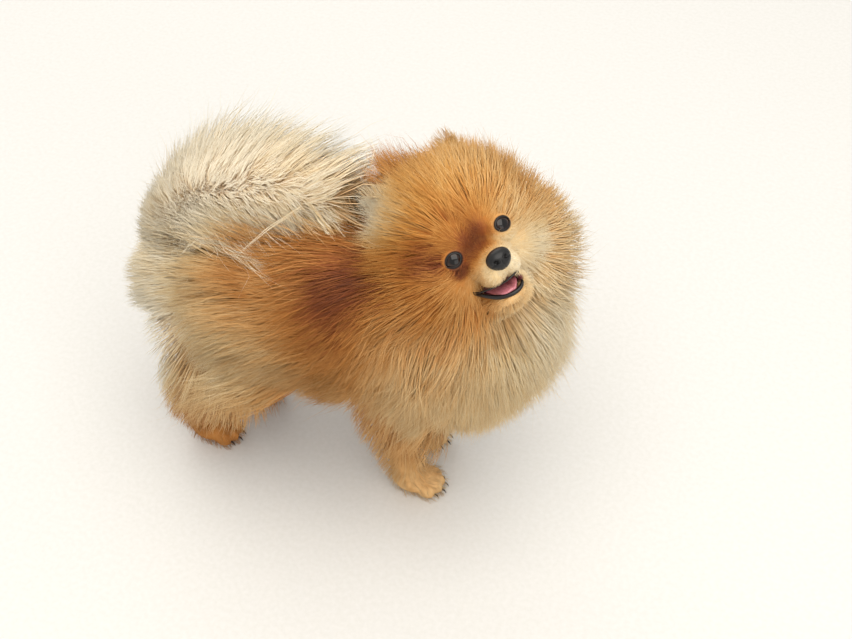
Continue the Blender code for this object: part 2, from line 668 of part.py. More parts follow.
def make_tail(share, hull):
    tail = limb("tail", between(TAIL_SKIN, TAIL_TIPS, share), 14, 2, across=TAIL_ACROSS)
    grow_locks(tail, "tail", hull, [TAIL_SPACE], [TORSO_SPACE])
    kept_inside(tail, TAIL_SPACE)
    back = TORSO_SPACE.grown(GAP).solid("back", *SPACE_SIDES)
    return cut(tail, cut(back, TAIL_ROOT_SPACE.solid("sleeve", *SPACE_SIDES)))


def coat_hull():
    """The surface that the tips of the whole coat reach, as a tree to measure against."""
    pieces = [limb("tips", rows) for rows in (TORSO_TIPS, NECK_TIPS, CHEST_TIPS)]
    pieces.append(limb("tips", TAIL_TIPS, across=TAIL_ACROSS))
    for name in FEET:
        pieces.append(limb("tips", placed_leg(FORELEG_TIPS if name.startswith("fore") else HINDLEG_TIPS, name)))
    pieces += [head_ball("tips", form) for form in (SKULL_TIPS, MANE_TIPS)]
    pieces.append(Ellipsoid(on_body(*WITHERS_TIPS[0]), WITHERS_TIPS[1]).solid("tips"))
    hull = blended("hull", pieces, HULL_VOXEL, 0, HULL_TRIANGLES)
    shape = bmesh.new()
    shape.from_mesh(hull.data)
    discard([hull])
    tree = BVHTree.FromBMesh(shape)
    shape.free()
    return tree


def floor_block():
    """A block whose top is the floor, to give the paws their flat soles."""
    shape = bmesh.new()
    bmesh.ops.create_cube(shape, size=1.0)
    bmesh.ops.scale(shape, vec=FLOOR_BLOCK, verts=shape.verts)
    bmesh.ops.translate(shape, vec=(0, 0, -FLOOR_BLOCK[2] / 2), verts=shape.verts)
    return finished("floor_block", bpy.data.meshes.new("floor_block"), shape)


def centre_on_floor(objects):
    """Moves every mesh so that the origin is under the middle of the whole box, on the floor."""
    corners = np.array([v.co for obj in objects for v in obj.data.vertices])
    low, high = corners.min(axis=0), corners.max(axis=0)
    shift = Matrix.Translation((-(low[0] + high[0]) / 2, -(low[1] + high[1]) / 2, -low[2]))
    for obj in objects:
        obj.data.transform(shift)


def main():
    for old in list(bpy.data.objects):
        bpy.data.objects.remove(old)
    hull = coat_hull()
    parts = {
        "head": (make_head(COAT_SHARE, hull), COAT_ORANGE, 0.85),
        "lower_jaw": (make_jaw(), COAT_CREAM, 0.85),
        "tongue": (head_limb("tongue", TONGUE), TONGUE_PINK, 0.4),
        "nose": (make_nose(), NOSE_BLACK, 0.4),
    }
    for side, word in ((1, "left"), (-1, "right")):
        eye = Ellipsoid(eye_place(side), np.full(3, EYE_RADIUS / CM)).solid("eye", 16, 10)
        parts["eye_" + word] = (eye, EYE_BROWN, 0.1)
        parts["ear_" + word] = (make_ear(side), COAT_CREAM, 0.85)
    for name in FEET:
        parts[name] = (make_leg(name, COAT_SHARE, hull), COAT_ORANGE, 0.85)
    parts["torso"] = (make_torso(COAT_SHARE, hull), COAT_RUST, 0.9)
    parts["neck"] = (make_neck(COAT_SHARE, hull), COAT_SAND, 0.9)
    parts["tail"] = (make_tail(COAT_SHARE, hull), COAT_CREAM, 0.9)
    model = bpy.data.collections.new("pomeranian")
    bpy.context.scene.collection.children.link(model)
    for name, (obj, colour, roughness) in parts.items():
        largest_body(obj)
        dress(obj, material(name, colour, roughness), name)
        for owner in list(obj.users_collection):
            owner.objects.unlink(obj)
        model.objects.link(obj)
    centre_on_floor(model.objects)


main()
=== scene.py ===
"""A standing Pomeranian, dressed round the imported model.

One skin takes the place of the solids of flesh. A long double coat of separate tapered tufts grows on
it, and the eyes, lids, nose, lips, tongue and claws are pieces of their own. Sizes are in centimetres
in the dog's own axes: ahead, to its left and up. The head has axes of its own, from the point midway
between the eyes: along the muzzle, to its left and up through the crown.
"""

import logging
import math
from dataclasses import dataclass, field
from enum import Enum
from typing import Iterable, Sequence

import bpy
import numpy as np
from mathutils import Matrix, Vector
from mathutils.bvhtree import BVHTree
from mathutils.kdtree import KDTree


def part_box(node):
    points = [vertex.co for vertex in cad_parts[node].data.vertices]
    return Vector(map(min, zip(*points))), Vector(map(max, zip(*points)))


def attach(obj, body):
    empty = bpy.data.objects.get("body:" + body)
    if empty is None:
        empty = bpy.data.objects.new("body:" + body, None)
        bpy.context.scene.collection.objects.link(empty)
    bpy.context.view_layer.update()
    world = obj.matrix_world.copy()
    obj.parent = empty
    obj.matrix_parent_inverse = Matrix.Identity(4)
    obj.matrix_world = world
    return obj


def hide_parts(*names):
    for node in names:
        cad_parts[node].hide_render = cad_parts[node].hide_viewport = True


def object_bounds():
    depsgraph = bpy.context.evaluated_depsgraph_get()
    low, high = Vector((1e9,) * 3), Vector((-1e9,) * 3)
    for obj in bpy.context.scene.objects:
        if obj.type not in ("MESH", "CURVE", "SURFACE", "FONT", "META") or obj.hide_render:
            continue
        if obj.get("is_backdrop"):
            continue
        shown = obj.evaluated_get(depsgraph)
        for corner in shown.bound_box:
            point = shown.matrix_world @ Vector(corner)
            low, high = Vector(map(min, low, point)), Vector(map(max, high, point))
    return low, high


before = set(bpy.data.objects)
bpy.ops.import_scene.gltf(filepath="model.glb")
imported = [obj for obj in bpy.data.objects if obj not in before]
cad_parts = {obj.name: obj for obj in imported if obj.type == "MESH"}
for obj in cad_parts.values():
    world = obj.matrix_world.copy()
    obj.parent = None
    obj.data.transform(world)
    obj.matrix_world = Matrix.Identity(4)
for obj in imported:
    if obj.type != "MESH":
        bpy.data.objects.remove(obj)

Array = np.ndarray
Triple = tuple[float, float, float]
Row = tuple[float, float, float, float, float]
# The stops of a ramp, each a place from 0 to 1 and a hex colour.
Stops = Sequence[tuple[float, str]]

CM = 0.01
MM = 0.001
SIDES = (1, -1)
BODY = "root"
DOWN = np.array((0.0, 0.0, -1.0))

# The end of the muzzle, that the face's hair is measured from, in the head's centimetres.
MUZZLE_END = (2.2, 0, -1.6)

# The rings that round a tube's end: each one's size as a share of the tube's, and how far it stands
# ahead of the end, as a share of the tube's half width.
TUBE_END = ((0.0, -1.0), (0.38, -0.9), (0.74, -0.62))
SMALLEST_RING = 0.05

# How far a ball's first ring is from its pole, as a share of a half turn.
POLE_GAP = 0.02

log = logging.getLogger("dog")


def unit(vectors: Array) -> Array:
    """The vector, or each row of vectors, at length 1."""
    vectors = np.asarray(vectors, float)
    return vectors / np.maximum(np.linalg.norm(vectors, axis=-1, keepdims=True), 1e-12)


def smooth_step(value: Array, low: float, high: float) -> Array:
    """0 below low, 1 above high, and an easy curve between them."""
    share = np.clip((value - low) / (high - low), 0, 1)
    return share * share * (3 - 2 * share)


def mixed(first: Array, second: Array, share: Array | float) -> Array:
    """The first value at share 0, the second at share 1."""
    return first + (second - first) * share


# The two frames


@dataclass(frozen=True)
class DogAxes:
    """Where the dog and its head lie in the model.

    Attributes:
        head_origin: The point midway between the eyes, in centimetres in the dog's axes.
        forward: The way that the muzzle points.
        up: The way through the crown, roughly square to forward.
        eye_spacing: Between the centres of the eyes, in centimetres.
        eye_depth: How far the eyes' centres lie behind the head's origin.
    """

    head_origin: Triple = (10.23, -1.24, 28.43)
    forward: Triple = (0.412, -0.595, 0.694)
    up: Triple = (-0.701, 0.280, 0.656)
    eye_spacing: float = 3.8
    eye_depth: float = 0.42

    @property
    def head(self) -> Array:
        """The head's axes as the columns of a matrix: ahead, to its left, up."""
        ahead = unit(np.array(self.forward))
        left = unit(np.cross(self.up, ahead))
        return np.stack((ahead, left, np.cross(ahead, left)), axis=1)

    @property
    def shift(self) -> Array:
        """From the model's place to the dog's own axes, in metres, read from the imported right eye."""
        low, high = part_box("eye_right")
        place = (-self.eye_depth, -self.eye_spacing / 2, 0)
        designed = (np.array(self.head_origin) + self.head @ np.array(place)) * CM
        return designed - np.array((low + high) / 2)

    def on_body(self, points: Array | Sequence) -> Array:
        """Places in the model, in metres, of points in centimetres in the dog's axes."""
        return np.asarray(points, float) * CM - self.shift

    def on_head(self, points: Array | Sequence) -> Array:
        """Places in the model of points in centimetres in the head's axes."""
        return self.on_body(np.array(self.head_origin) + np.asarray(points, float) @ self.head.T)

    def to_body(self, places: Array) -> Array:
        """Places in the model as centimetres in the dog's axes."""
        return (places + self.shift) / CM

    def to_head(self, places: Array) -> Array:
        """Places in the model as centimetres in the head's axes."""
        return (self.to_body(places) - np.array(self.head_origin)) @ self.head


DOG = DogAxes()


# Meshes


@dataclass
class Shape:
    """A mesh as arrays.

    Attributes:
        points: One row for each vertex, in metres.
        faces: The vertices of each triangle.
    """

    points: Array
    faces: Array

    @staticmethod
    def joined(shapes: Iterable["Shape"]) -> "Shape":
        """Several shapes as one."""
        points, faces, count = [], [], 0
        for shape in shapes:
            points.append(shape.points)
            faces.append(shape.faces + count)
            count += len(shape.points)
        return Shape(np.concatenate(points), np.concatenate(faces))

    @staticmethod
    def of(obj: bpy.types.Object) -> "Shape":
        """The shape of an object with its modifiers."""
        evaluated = obj.evaluated_get(bpy.context.evaluated_depsgraph_get())
        mesh = evaluated.to_mesh()
        mesh.calc_loop_triangles()
        points = np.empty(len(mesh.vertices) * 3, np.float32)
        mesh.vertices.foreach_get("co", points)
        faces = np.empty(len(mesh.loop_triangles) * 3, np.int32)
        mesh.loop_triangles.foreach_get("vertices", faces)
        evaluated.to_mesh_clear()
        return Shape(points.reshape(-1, 3).astype(float), faces.reshape(-1, 3))

    def object(self, name: str, smooth: bool = True) -> bpy.types.Object:
        """A new object of this shape, linked to the scene.

        Args:
            name: The object's name.
            smooth: Whether its faces are shaded smooth.

        Returns:
            The object.
        """
        mesh = bpy.data.meshes.new(name)
        mesh.vertices.add(len(self.points))
        mesh.vertices.foreach_set("co", self.points.astype(np.float32).ravel())
        mesh.loops.add(self.faces.size)
        mesh.loops.foreach_set("vertex_index", self.faces.astype(np.int32).ravel())
        mesh.polygons.add(len(self.faces))
        mesh.polygons.foreach_set("loop_start", np.arange(0, self.faces.size, 3, dtype=np.int32))
        if smooth:
            mesh.shade_smooth()
        mesh.update(calc_edges=True)
        made = bpy.data.objects.new(name, mesh)
        bpy.context.scene.collection.objects.link(made)
        return made

    def facing_out(self) -> "Shape":
        """The closed shape with its faces turned outwards."""
        corners = self.points[self.faces]
        volume = (corners[:, 0] * np.cross(corners[:, 1], corners[:, 2])).sum()
        return self if volume > 0 else Shape(self.points, self.faces[:, ::-1])

    def tree(self) -> BVHTree:
        """A search tree over the triangles."""
        return BVHTree.FromPolygons(self.points.tolist(), self.faces.tolist())

    def vertex_normals(self) -> Array:
        """The normal at each vertex, from the faces round it."""
        corners = self.points[self.faces]
        flat = np.cross(corners[:, 1] - corners[:, 0], corners[:, 2] - corners[:, 0])
        normals = np.zeros_like(self.points)
        for corner in range(3):
            np.add.at(normals, self.faces[:, corner], flat)
        return unit(normals)


def discard(obj: bpy.types.Object) -> None:
    """Removes an object and its mesh."""
    mesh = obj.data
    bpy.data.objects.remove(obj)
    bpy.data.meshes.remove(mesh)


def grid_faces(rows: int, columns: int, closed: bool = True) -> Array:
    """The triangles of a grid of points, row after row.

    Args:
        rows: How many rows of points there are.
        columns: How many points a row has.
        closed: Whether the last column joins the first.

    Returns:
        The triangles.
    """
    index = np.arange(rows * columns).reshape(rows, columns)
    ahead = np.roll(index, -1, axis=1)
    if not closed:
        index, ahead = index[:, :-1], ahead[:, :-1]
    a, b, c, d = index[:-1], ahead[:-1], ahead[1:], index[1:]
    return np.concatenate([np.stack((a, b, c), -1).reshape(-1, 3), np.stack((a, c, d), -1).reshape(-1, 3)])


def capped(rings: Array) -> Shape:
    """A closed shape from rings of points, the first and last of which are drawn to their middles."""
    count, sides = rings.shape[:2]
    points = np.concatenate([rings.reshape(-1, 3), rings[0].mean(0)[None], rings[-1].mean(0)[None]])
    around = np.arange(sides)
    beside = np.roll(around, -1)
    last = (count - 1) * sides
    first_cap = np.stack((beside, around, np.full(sides, count * sides)), -1)
    last_cap = np.stack((around + last, beside + last, np.full(sides, count * sides + 1)), -1)
    return Shape(points, np.concatenate([grid_faces(count, sides), first_cap, last_cap])).facing_out()


def smooth_line(rows: Array | Sequence, steps: int) -> Array:
    """Points on a smooth curve through the rows, with so many steps to each span."""
    rows = np.asarray(rows, float)
    ends = np.vstack((2 * rows[0] - rows[1], rows, 2 * rows[-1] - rows[-2]))
    t = np.linspace(0, 1, steps, endpoint=False)[:, None]
    line = []
    for a, b, c, d in zip(ends, ends[1:], ends[2:], ends[3:]):
        line.append(
            0.5 * (2 * b + (c - a) * t + (2 * a - 5 * b + 4 * c - d) * t**2 + (3 * b - a - 3 * c + d) * t**3)
        )
    return np.vstack(line + [rows[-1:]])


def tube(line: Array, wide: Array, deep: Array, across: Array, sides: int = 16) -> Shape:
    """A rounded tube along a line.

    Args:
        line: Points along its middle, in metres.
        wide: Its half width at each point.
        deep: Its half depth at each point.
        across: The way that the width lies.
        sides: How many sides a ring has.

    Returns:
        The closed shape.
    """
    along = unit(np.gradient(line, axis=0))
    width = unit(np.cross(np.cross(along, across), along))
    depth = np.cross(along, width)
    rows = [(0, line[0], scale, reach) for scale, reach in TUBE_END]
    rows += [(i, line[i], 1.0, 0.0) for i in range(len(line))]
    rows += [(len(line) - 1, line[-1], scale, -reach) for scale, reach in reversed(TUBE_END)]
    angle = np.arange(sides) * (2 * math.pi / sides)
    rings = []
    for index, centre, scale, reach in rows:
        middle = centre + along[index] * reach * min(wide[index], deep[index])
        scale = max(scale, SMALLEST_RING)
        ring = np.cos(angle)[:, None] * width[index] * wide[index]
        ring = ring + np.sin(angle)[:, None] * depth[index] * deep[index]
        rings.append(middle + ring * scale)
    return capped(np.array(rings))


def ball(centre: Array, radii: Sequence[float], axes: Array, rows: int = 24, columns: int = 32) -> Shape:
    """An ellipsoid with its poles on the first axis.

    Args:
        centre: Its middle, in metres.
        radii: Its three radii, in metres.
        axes: Its axes as the columns of a matrix.
        rows: How many rings it has from pole to pole.
        columns: How many sides a ring has.

    Returns:
        The closed shape.
    """
    polar = np.linspace(math.pi * POLE_GAP, math.pi * (1 - POLE_GAP), rows)
    angle = np.arange(columns) * (2 * math.pi / columns)
    local = np.stack(
        [
            np.repeat(np.cos(polar)[:, None], columns, 1),
            np.sin(polar)[:, None] * np.cos(angle),
            np.sin(polar)[:, None] * np.sin(angle),
        ],
        -1,
    )
    return capped(centre + (local * np.asarray(radii)) @ axes.T)


class Place(Enum):
    """The axes that a form's sizes are given in."""

    BODY = "body"
    HEAD = "head"


@dataclass(frozen=True)
class Limb:
    """A rounded form along stations.

    Attributes:
        rows: For each station x, y, z, the half width and the half depth, in centimetres.
        place: The axes of the rows.
        foot: What is added to x and y, for a leg.
        out: 1, or -1 for a leg whose rows are mirrored.
    """

    rows: tuple[Row, ...]
    place: Place = Place.BODY
    foot: tuple[float, float] = (0.0, 0.0)
    out: int = 1

    def stations(self) -> Array:
        """The rows, with the foot's place and side, in the dog's or the head's centimetres."""
        rows = np.array(self.rows, float)
        rows[:, 1] *= self.out
        rows[:, :2] += self.foot
        return rows

    def line(self, steps: int = 5) -> tuple[Array, Array]:
        """The middle line in the model, and the half width and depth, both in metres."""
        rows = smooth_line(self.stations(), steps)
        where = DOG.on_head if self.place is Place.HEAD else DOG.on_body
        return where(rows[:, :3]), rows[:, 3:] * CM

    def shape(self, grow: float = 0.0) -> Shape:
        """The limb as a closed shape, made larger all round by grow, in metres."""
        line, radii = self.line()
        across = DOG.head[:, 1] if self.place is Place.HEAD else np.array((0.0, 1.0, 0.0))
        return tube(line, radii[:, 0] + grow, radii[:, 1] + grow, across)


@dataclass(frozen=True)
class Lump:
    """An ellipsoid of the head or the body.

    Attributes:
        centre: Its middle, in centimetres.
        radii: Its radii along the place's axes, in centimetres.
        place: The axes of both.
        paired: Whether there is one on each side.
    """

    centre: Triple
    radii: Triple
    place: Place = Place.HEAD
    paired: bool = False

    def shapes(self, grow: float = 0.0) -> list[Shape]:
        """The lump, or the pair, made larger all round by grow, in metres."""
        made = []
        for side in SIDES if self.paired else (1,):
            centre = np.array(self.centre) * (1, side, 1)
            if self.place is Place.HEAD:
                where, axes = DOG.on_head(centre), DOG.head
            else:
                where, axes = DOG.on_body(centre), np.eye(3)
            made.append(ball(where, np.array(self.radii) * CM + grow, axes))
        return made


# The forms under the coat and out to its tips


class Part(Enum):
    """The parts of the body that the coat grows on, each with its own lie and length."""

    FACE = 0
    CROWN = 1
    RUFF = 2
    TORSO = 3
    TAIL = 4
    FORELEG = 5
    HINDLEG = 6
    EAR = 7


FEET = {
    "foreleg_right": (5.7, -2.3),
    "foreleg_left": (4.6, 2.5),
    "hindleg_right": (-12.2, -2.5),
    "hindleg_left": (-10.6, 2.8),
}


@dataclass(frozen=True)
class Forms:
    """The stations of the skin and of the coat's tips, in centimetres."""

    torso: tuple[Row, ...] = (
        (7.6, 0, 16.3, 3.7, 4.4),
        (5, 0, 16.0, 4.3, 5.4),
        (0, 0, 16.2, 4.2, 5.0),
        (-5, 0, 16.8, 3.9, 4.4),
        (-9.5, 0, 17.0, 4.2, 4.5),
        (-12.2, 0, 17.0, 2.9, 3.2),
    )
    torso_tips: tuple[Row, ...] = (
        (7.6, 0, 17.0, 8.4, 8.2),
        (5, 0, 17.2, 8.5, 8.0),
        (0, 0, 18.0, 8.4, 6.9),
        (-5, 0, 18.1, 8.5, 6.8),
        (-9.0, 0, 17.5, 8.6, 7.4),
        (-11.8, 0, 17.0, 6.4, 6.4),
    )
    neck: tuple[Row, ...] = (
        (4.5, 0, 18.0, 4.3, 4.3),
        (7.2, 0.3, 21.3, 3.8, 3.8),
        (8.6, 1.0, 24.4, 3.3, 3.3),
    )
    neck_tips: tuple[Row, ...] = (
        (4.5, 0.4, 18.6, 8.6, 6.6),
        (6.6, 2.2, 22.4, 8.6, 6.8),
        (7.6, 3.8, 25.4, 6.6, 5.4),
    )
    chest: tuple[Row, ...] = (
        (8.4, 0, 14.6, 2.9, 3.2),
        (9.3, 0.2, 17.2, 3.2, 3.4),
        (9.2, 0.4, 20.5, 3.2, 3.2),
    )
    chest_tips: tuple[Row, ...] = (
        (9.4, 0.8, 13.6, 7.2, 5.8),
        (10.2, 1.6, 17.6, 8.8, 7.2),
        (10.4, 3.2, 21.4, 8.4, 6.2),
    )
    tail: tuple[Row, ...] = (
        (-13.4, 0, 18.0, 1.1, 1.1),
        (-13.4, 0.3, 22.4, 1.0, 1.0),
        (-10.8, 0.8, 25.2, 0.9, 0.9),
        (-6.8, 1.2, 26.3, 0.7, 0.7),
        (-3.8, 1.5, 26.1, 0.5, 0.5),
        (-2.2, 1.7, 25.8, 0.35, 0.35),
    )
    tail_tips: tuple[Row, ...] = (
        (-13.4, 0.4, 17.6, 2.8, 2.6),
        (-13.4, 2.0, 21.6, 5.2, 3.4),
        (-11.0, 3.2, 24.6, 6.2, 3.8),
        (-7.2, 3.8, 26.0, 6.4, 3.6),
        (-3.6, 4.0, 26.0, 5.6, 3.2),
        (-1.4, 4.2, 25.6, 3.6, 2.4),
    )
    foreleg: tuple[Row, ...] = (
        (-0.4, 0.2, 15.0, 2.5, 2.6),
        (-1.6, -0.1, 10.5, 1.7, 1.9),
        (-0.9, 0, 6.5, 1.2, 1.3),
        (-0.6, 0, 3.0, 1.15, 1.2),
        (-0.2, 0, 1.8, 1.2, 1.3),
    )
    foreleg_tips: tuple[Row, ...] = (
        (-0.6, 0.8, 15.0, 3.4, 4.2),
        (-1.4, 0.6, 10.5, 3.2, 3.8),
        (-1.1, 0.2, 6.8, 2.7, 3.3),
        (-0.7, 0, 3.6, 2.2, 2.6),
        (-0.2, 0, 2.0, 1.9, 2.1),
    )
    hindleg: tuple[Row, ...] = (
        (2.4, 0.2, 15.5, 3.0, 3.8),
        (3.6, 1.0, 10.8, 2.2, 2.7),
        (0.2, 0, 7.6, 1.35, 1.6),
        (-1.4, 0, 5.2, 1.1, 1.2),
        (-0.9, 0, 2.4, 1.1, 1.15),
    )
    hindleg_tips: tuple[Row, ...] = (
        (2.4, 0.2, 15.5, 4.8, 6.4),
        (2.8, 1.6, 11.0, 4.6, 6.0),
        (1.4, 1.2, 8.2, 4.0, 4.6),
        (-0.8, 0.4, 5.2, 2.8, 2.9),
        (-0.8, 0, 2.6, 2.0, 2.1),
    )
    muzzle: tuple[Row, ...] = (
        (-1.6, 0, -1.2, 2.0, 1.9),
        (0.3, 0, -1.45, 1.5, 1.2),
        (1.5, 0, -1.6, 1.15, 0.92),
        (2.05, 0, -1.66, 0.95, 0.78),
    )
    jaw: tuple[Row, ...] = (
        (-2.6, -0.1, -3.5, 1.8, 0.95),
        (-0.6, -0.22, -3.9, 1.42, 0.74),
        (0.7, -0.2, -4.2, 1.1, 0.52),
        (1.15, -0.16, -4.25, 0.9, 0.42),
    )
    mouth: tuple[Row, ...] = (
        (-2.0, -0.5, -2.85, 1.3, 0.4),
        (-0.2, -0.5, -3.1, 1.3, 0.44),
        (1.2, -0.32, -3.36, 1.02, 0.46),
        (3.6, -0.28, -3.5, 1.02, 0.58),
    )
    skull: Lump = Lump((-3.9, 0, 0.6), (3.9, 3.7, 3.6))
    brow: Lump = Lump((-1.5, 1.1, 0.9), (1.9, 1.9, 1.9), paired=True)
    cheek: Lump = Lump((-2.9, 2.3, -1.5), (2.7, 2.7, 2.7), paired=True)
    flews: Lump = Lump((0.85, 0.63, -2.08), (1.6, 0.74, 0.86), paired=True)
    lip_fold: Lump = Lump((0.65, 0.82, -3.2), (1.0, 0.22, 0.7))
    nape: Lump = Lump((-5.4, 0, -2.2), (3.4, 3.4, 3.6))
    skull_tips: Lump = Lump((-4.4, 0.3, 0.2), (4.8, 7.2, 7.4))
    mane: Lump = Lump((-4.9, 0.35, -2.4), (4.0, 8.2, 8.2))
    withers: Lump = Lump((0.5, 5.1, 23.9), (4.8, 4.6, 4.8), Place.BODY)
    paw: Lump = Lump((0.3, 0, 1.25), (1.95, 1.45, 1.1), Place.BODY)

    def legs(self) -> dict[str, tuple[Limb, Limb]]:
        """Each leg's limb of skin and of tips, by the leg's name."""
        made = {}
        for name, foot in FEET.items():
            out = 1 if name.endswith("left") else -1
            fore = name.startswith("fore")
            skin = self.foreleg if fore else self.hindleg
            tips = self.foreleg_tips if fore else self.hindleg_tips
            made[name] = (Limb(skin, foot=foot, out=out), Limb(tips, foot=foot, out=out))
        return made


FORMS = Forms()


@dataclass(frozen=True)
class Ear:
    """A pricked ear, a leaf of skin with a hollow front.

    Attributes:
        base: The middle of its root, on the left, in the head's centimetres.
        tip: Its point.
        half_width: At its widest.
        hollow: How deep the front is let in.
        wall: How thick the leaf is.
        turn: How far its front turns outwards.
        sunk: How far it goes on below its root, as a share of its height.
        outline: The two powers that round its sides and its point.
        flare: How much narrower it gets below its root.
        flattening: How much of the hollow is gone at the tip.
        least_width: Half the width of its point.
    """

    base: Triple = (-3.3, 2.3, 2.6)
    tip: Triple = (-4.6, 3.7, 6.5)
    half_width: float = 1.45
    hollow: float = 0.75
    wall: float = 0.28
    turn: float = 0.45
    sunk: float = 0.15
    outline: tuple[float, float] = (2.4, 0.75)
    flare: float = 0.1
    flattening: float = 0.55
    least_width: float = 0.03

    def axes(self, side: int) -> tuple[Array, Array, Array]:
        """The root and tip in the model, and the ear's axes: out of the hollow, across and up."""
        base = DOG.on_head(np.array(self.base) * (1, side, 1))
        tip = DOG.on_head(np.array(self.tip) * (1, side, 1))
        up = unit(tip - base)
        front = DOG.head[:, 0] + side * self.turn * DOG.head[:, 1]
        front = unit(front - up * (front @ up))
        return base, tip, np.stack((front, np.cross(up, front), up), axis=1)

    def shape(self, side: int, rows: int = 14, columns: int = 18) -> Shape:
        """The leaf as a closed shell, in the model."""
        base, tip, axes = self.axes(side)
        height = np.linalg.norm(tip - base)
        narrowing, rounding = self.outline
        sheets = []
        for depth in (0.0, self.wall):
            points = []
            for share in np.linspace(-self.sunk, 1.0, rows):
                wide = self.half_width * (1 - max(share, 0.0) ** narrowing) ** rounding
                wide = max(wide * (1 + self.flare * min(share, 0)), self.least_width)
                for across in np.linspace(-1, 1, columns):
                    back = -self.hollow * (1 - across**2) * (1 - self.flattening * max(share, 0)) - depth
                    local = np.array((back, across * wide, 0)) * CM
                    local[2] = share * height
                    points.append(base + axes @ local)
            sheets.append(np.array(points).reshape(rows, columns, 3))
        front, behind = sheets
        ring = np.concatenate([front, behind[:, ::-1]], axis=1)
        return capped(ring)


EAR = Ear()


# Colours and nodes


def linear(code: str) -> tuple[float, float, float, float]:
    """An sRGB hex colour as linear red, green, blue and an alpha of 1."""
    values = [int(code[i : i + 2], 16) / 255 for i in (1, 3, 5)]
    red, green, blue = (v / 12.92 if v <= 0.04045 else ((v + 0.055) / 1.055) ** 2.4 for v in values)
    return (red, green, blue, 1.0)


def add_node(
    tree: bpy.types.NodeTree, kind: str, settings: dict | None = None, links: dict | None = None
) -> bpy.types.Node:
    """Adds one node to a tree.

    Args:
        tree: The material's nodes.
        kind: The node's type, without the ShaderNode in front.
        settings: Properties of the node, or values of its inputs, by name or by number.
        links: The output that feeds each input, by name or by number.

    Returns:
        The node.
    """
    node = tree.nodes.new("ShaderNode" + kind)
    for key, value in (settings or {}).items():
        if isinstance(key, int) or key in node.inputs:
            node.inputs[key].default_value = value
        else:
            setattr(node, key, value)
    for key, source in (links or {}).items():
        tree.links.new(source, node.inputs[key])
    return node


def ramp(tree: bpy.types.NodeTree, source: bpy.types.NodeSocket, stops: Stops) -> bpy.types.NodeSocket:
    """The colour that a new Color Ramp gives a number.

    Args:
        tree: The material's nodes.
        source: The number.
        stops: The ramp's stops.

    Returns:
        The colour.
    """
    node = add_node(tree, "ValToRGB", links={"Fac": source})
    elements = node.color_ramp.elements
    elements[0].position, elements[-1].position = stops[0][0], stops[-1][0]
    elements[0].color, elements[-1].color = linear(stops[0][1]), linear(stops[-1][1])
    for place, colour in stops[1:-1]:
        elements.new(place).color = linear(colour)
    return node.outputs[0]


def blend(
    tree: bpy.types.NodeTree,
    share: bpy.types.NodeSocket,
    first: bpy.types.NodeSocket,
    second: bpy.types.NodeSocket,
) -> bpy.types.NodeSocket:
    """The first colour where share is 0, the second where it is 1."""
    return add_node(tree, "Mix", {"data_type": "RGBA"}, {"Factor": share, 6: first, 7: second}).outputs[2]


def attribute(tree: bpy.types.NodeTree, name: str) -> bpy.types.NodeSocket:
    """The number that the mesh holds under a name."""
    return add_node(tree, "Attribute", {"attribute_name": name}).outputs["Fac"]


def noise(tree: bpy.types.NodeTree, spacing: float, **settings: float) -> bpy.types.NodeSocket:
    """A soft noise from 0 to 1 over the object.

    Args:
        tree: The material's nodes.
        spacing: How far apart its spots are, in metres.
        settings: The noise's own inputs.

    Returns:
        The noise.
    """
    place = add_node(tree, "TexCoord").outputs["Object"]
    return add_node(tree, "TexNoise", {"Scale": 1 / spacing, **settings}, {"Vector": place}).outputs["Fac"]


def swing(
    tree: bpy.types.NodeTree, source: bpy.types.NodeSocket, span: float, middle: float = 0.5
) -> bpy.types.NodeSocket:
    """Turns a number from 0 to 1 into a change.

    Args:
        tree: The material's nodes.
        source: The number.
        span: How far the change goes from the number's 0 to its 1.
        middle: The number at which there is no change.

    Returns:
        The change.
    """
    settings = {"operation": "MULTIPLY_ADD", 1: span, 2: -span * middle}
    return add_node(tree, "Math", settings, {0: source}).outputs[0]


def set_inputs(shader: bpy.types.Node, values: dict) -> None:
    """Sets a shader's inputs by name."""
    for name, value in values.items():
        shader.inputs[name].default_value = value


def new_material(name: str, shown: str) -> tuple[bpy.types.Material, bpy.types.Node]:
    """A material and its Principled shader.

    Args:
        name: The material's name.
        shown: The hex colour that the viewport shows.

    Returns:
        The material and the shader.
    """
    made = bpy.data.materials.new(name)
    made.use_nodes = True
    made.diffuse_color = linear(shown)
    return made, made.node_tree.nodes["Principled BSDF"]


# The coat's markings


@dataclass(frozen=True)
class Marking:
    """A patch of the coat.

    Attributes:
        place: Its middle on the outside of the coat, in the dog's centimetres.
        width: How far it reaches, in centimetres.
        tone: From 0, dark rust, through orange and sand to 1, white cream.
        gold: How golden it is, from 0 to 1.
        strength: How far it overrules the others round it.
    """

    place: Triple
    width: float
    tone: float
    gold: float = 0.0
    strength: float = 1.0


def head_marking(place: Triple, *rest: float) -> Marking:
    """A marking whose place is given in the head's centimetres, and the rest as in Marking."""
    return Marking(tuple(DOG.to_body(DOG.on_head(place))), *rest)


@dataclass(frozen=True)
class Markings:
    """Every marking of the coat, shared by the skin and the tufts.

    Attributes:
        patches: The markings.
        far: How much a marking still counts far off, so that no place is without one.
    """

    patches: tuple[Marking, ...]
    far: float = 1e-4

    def at(self, places: Array) -> tuple[Array, Array]:
        """The tone and the gold at places in the model."""
        points = DOG.to_body(places)
        total = np.full(len(points), 1e-9)
        tone = np.zeros(len(points))
        gold = np.zeros(len(points))
        for patch in self.patches:
            apart = np.linalg.norm(points - np.array(patch.place), axis=1) / patch.width
            weight = patch.strength * (np.exp(-(apart**2)) + self.far / (1 + apart**4))
            total += weight
            tone += weight * patch.tone
            gold += weight * patch.gold
        return tone / total, gold / total


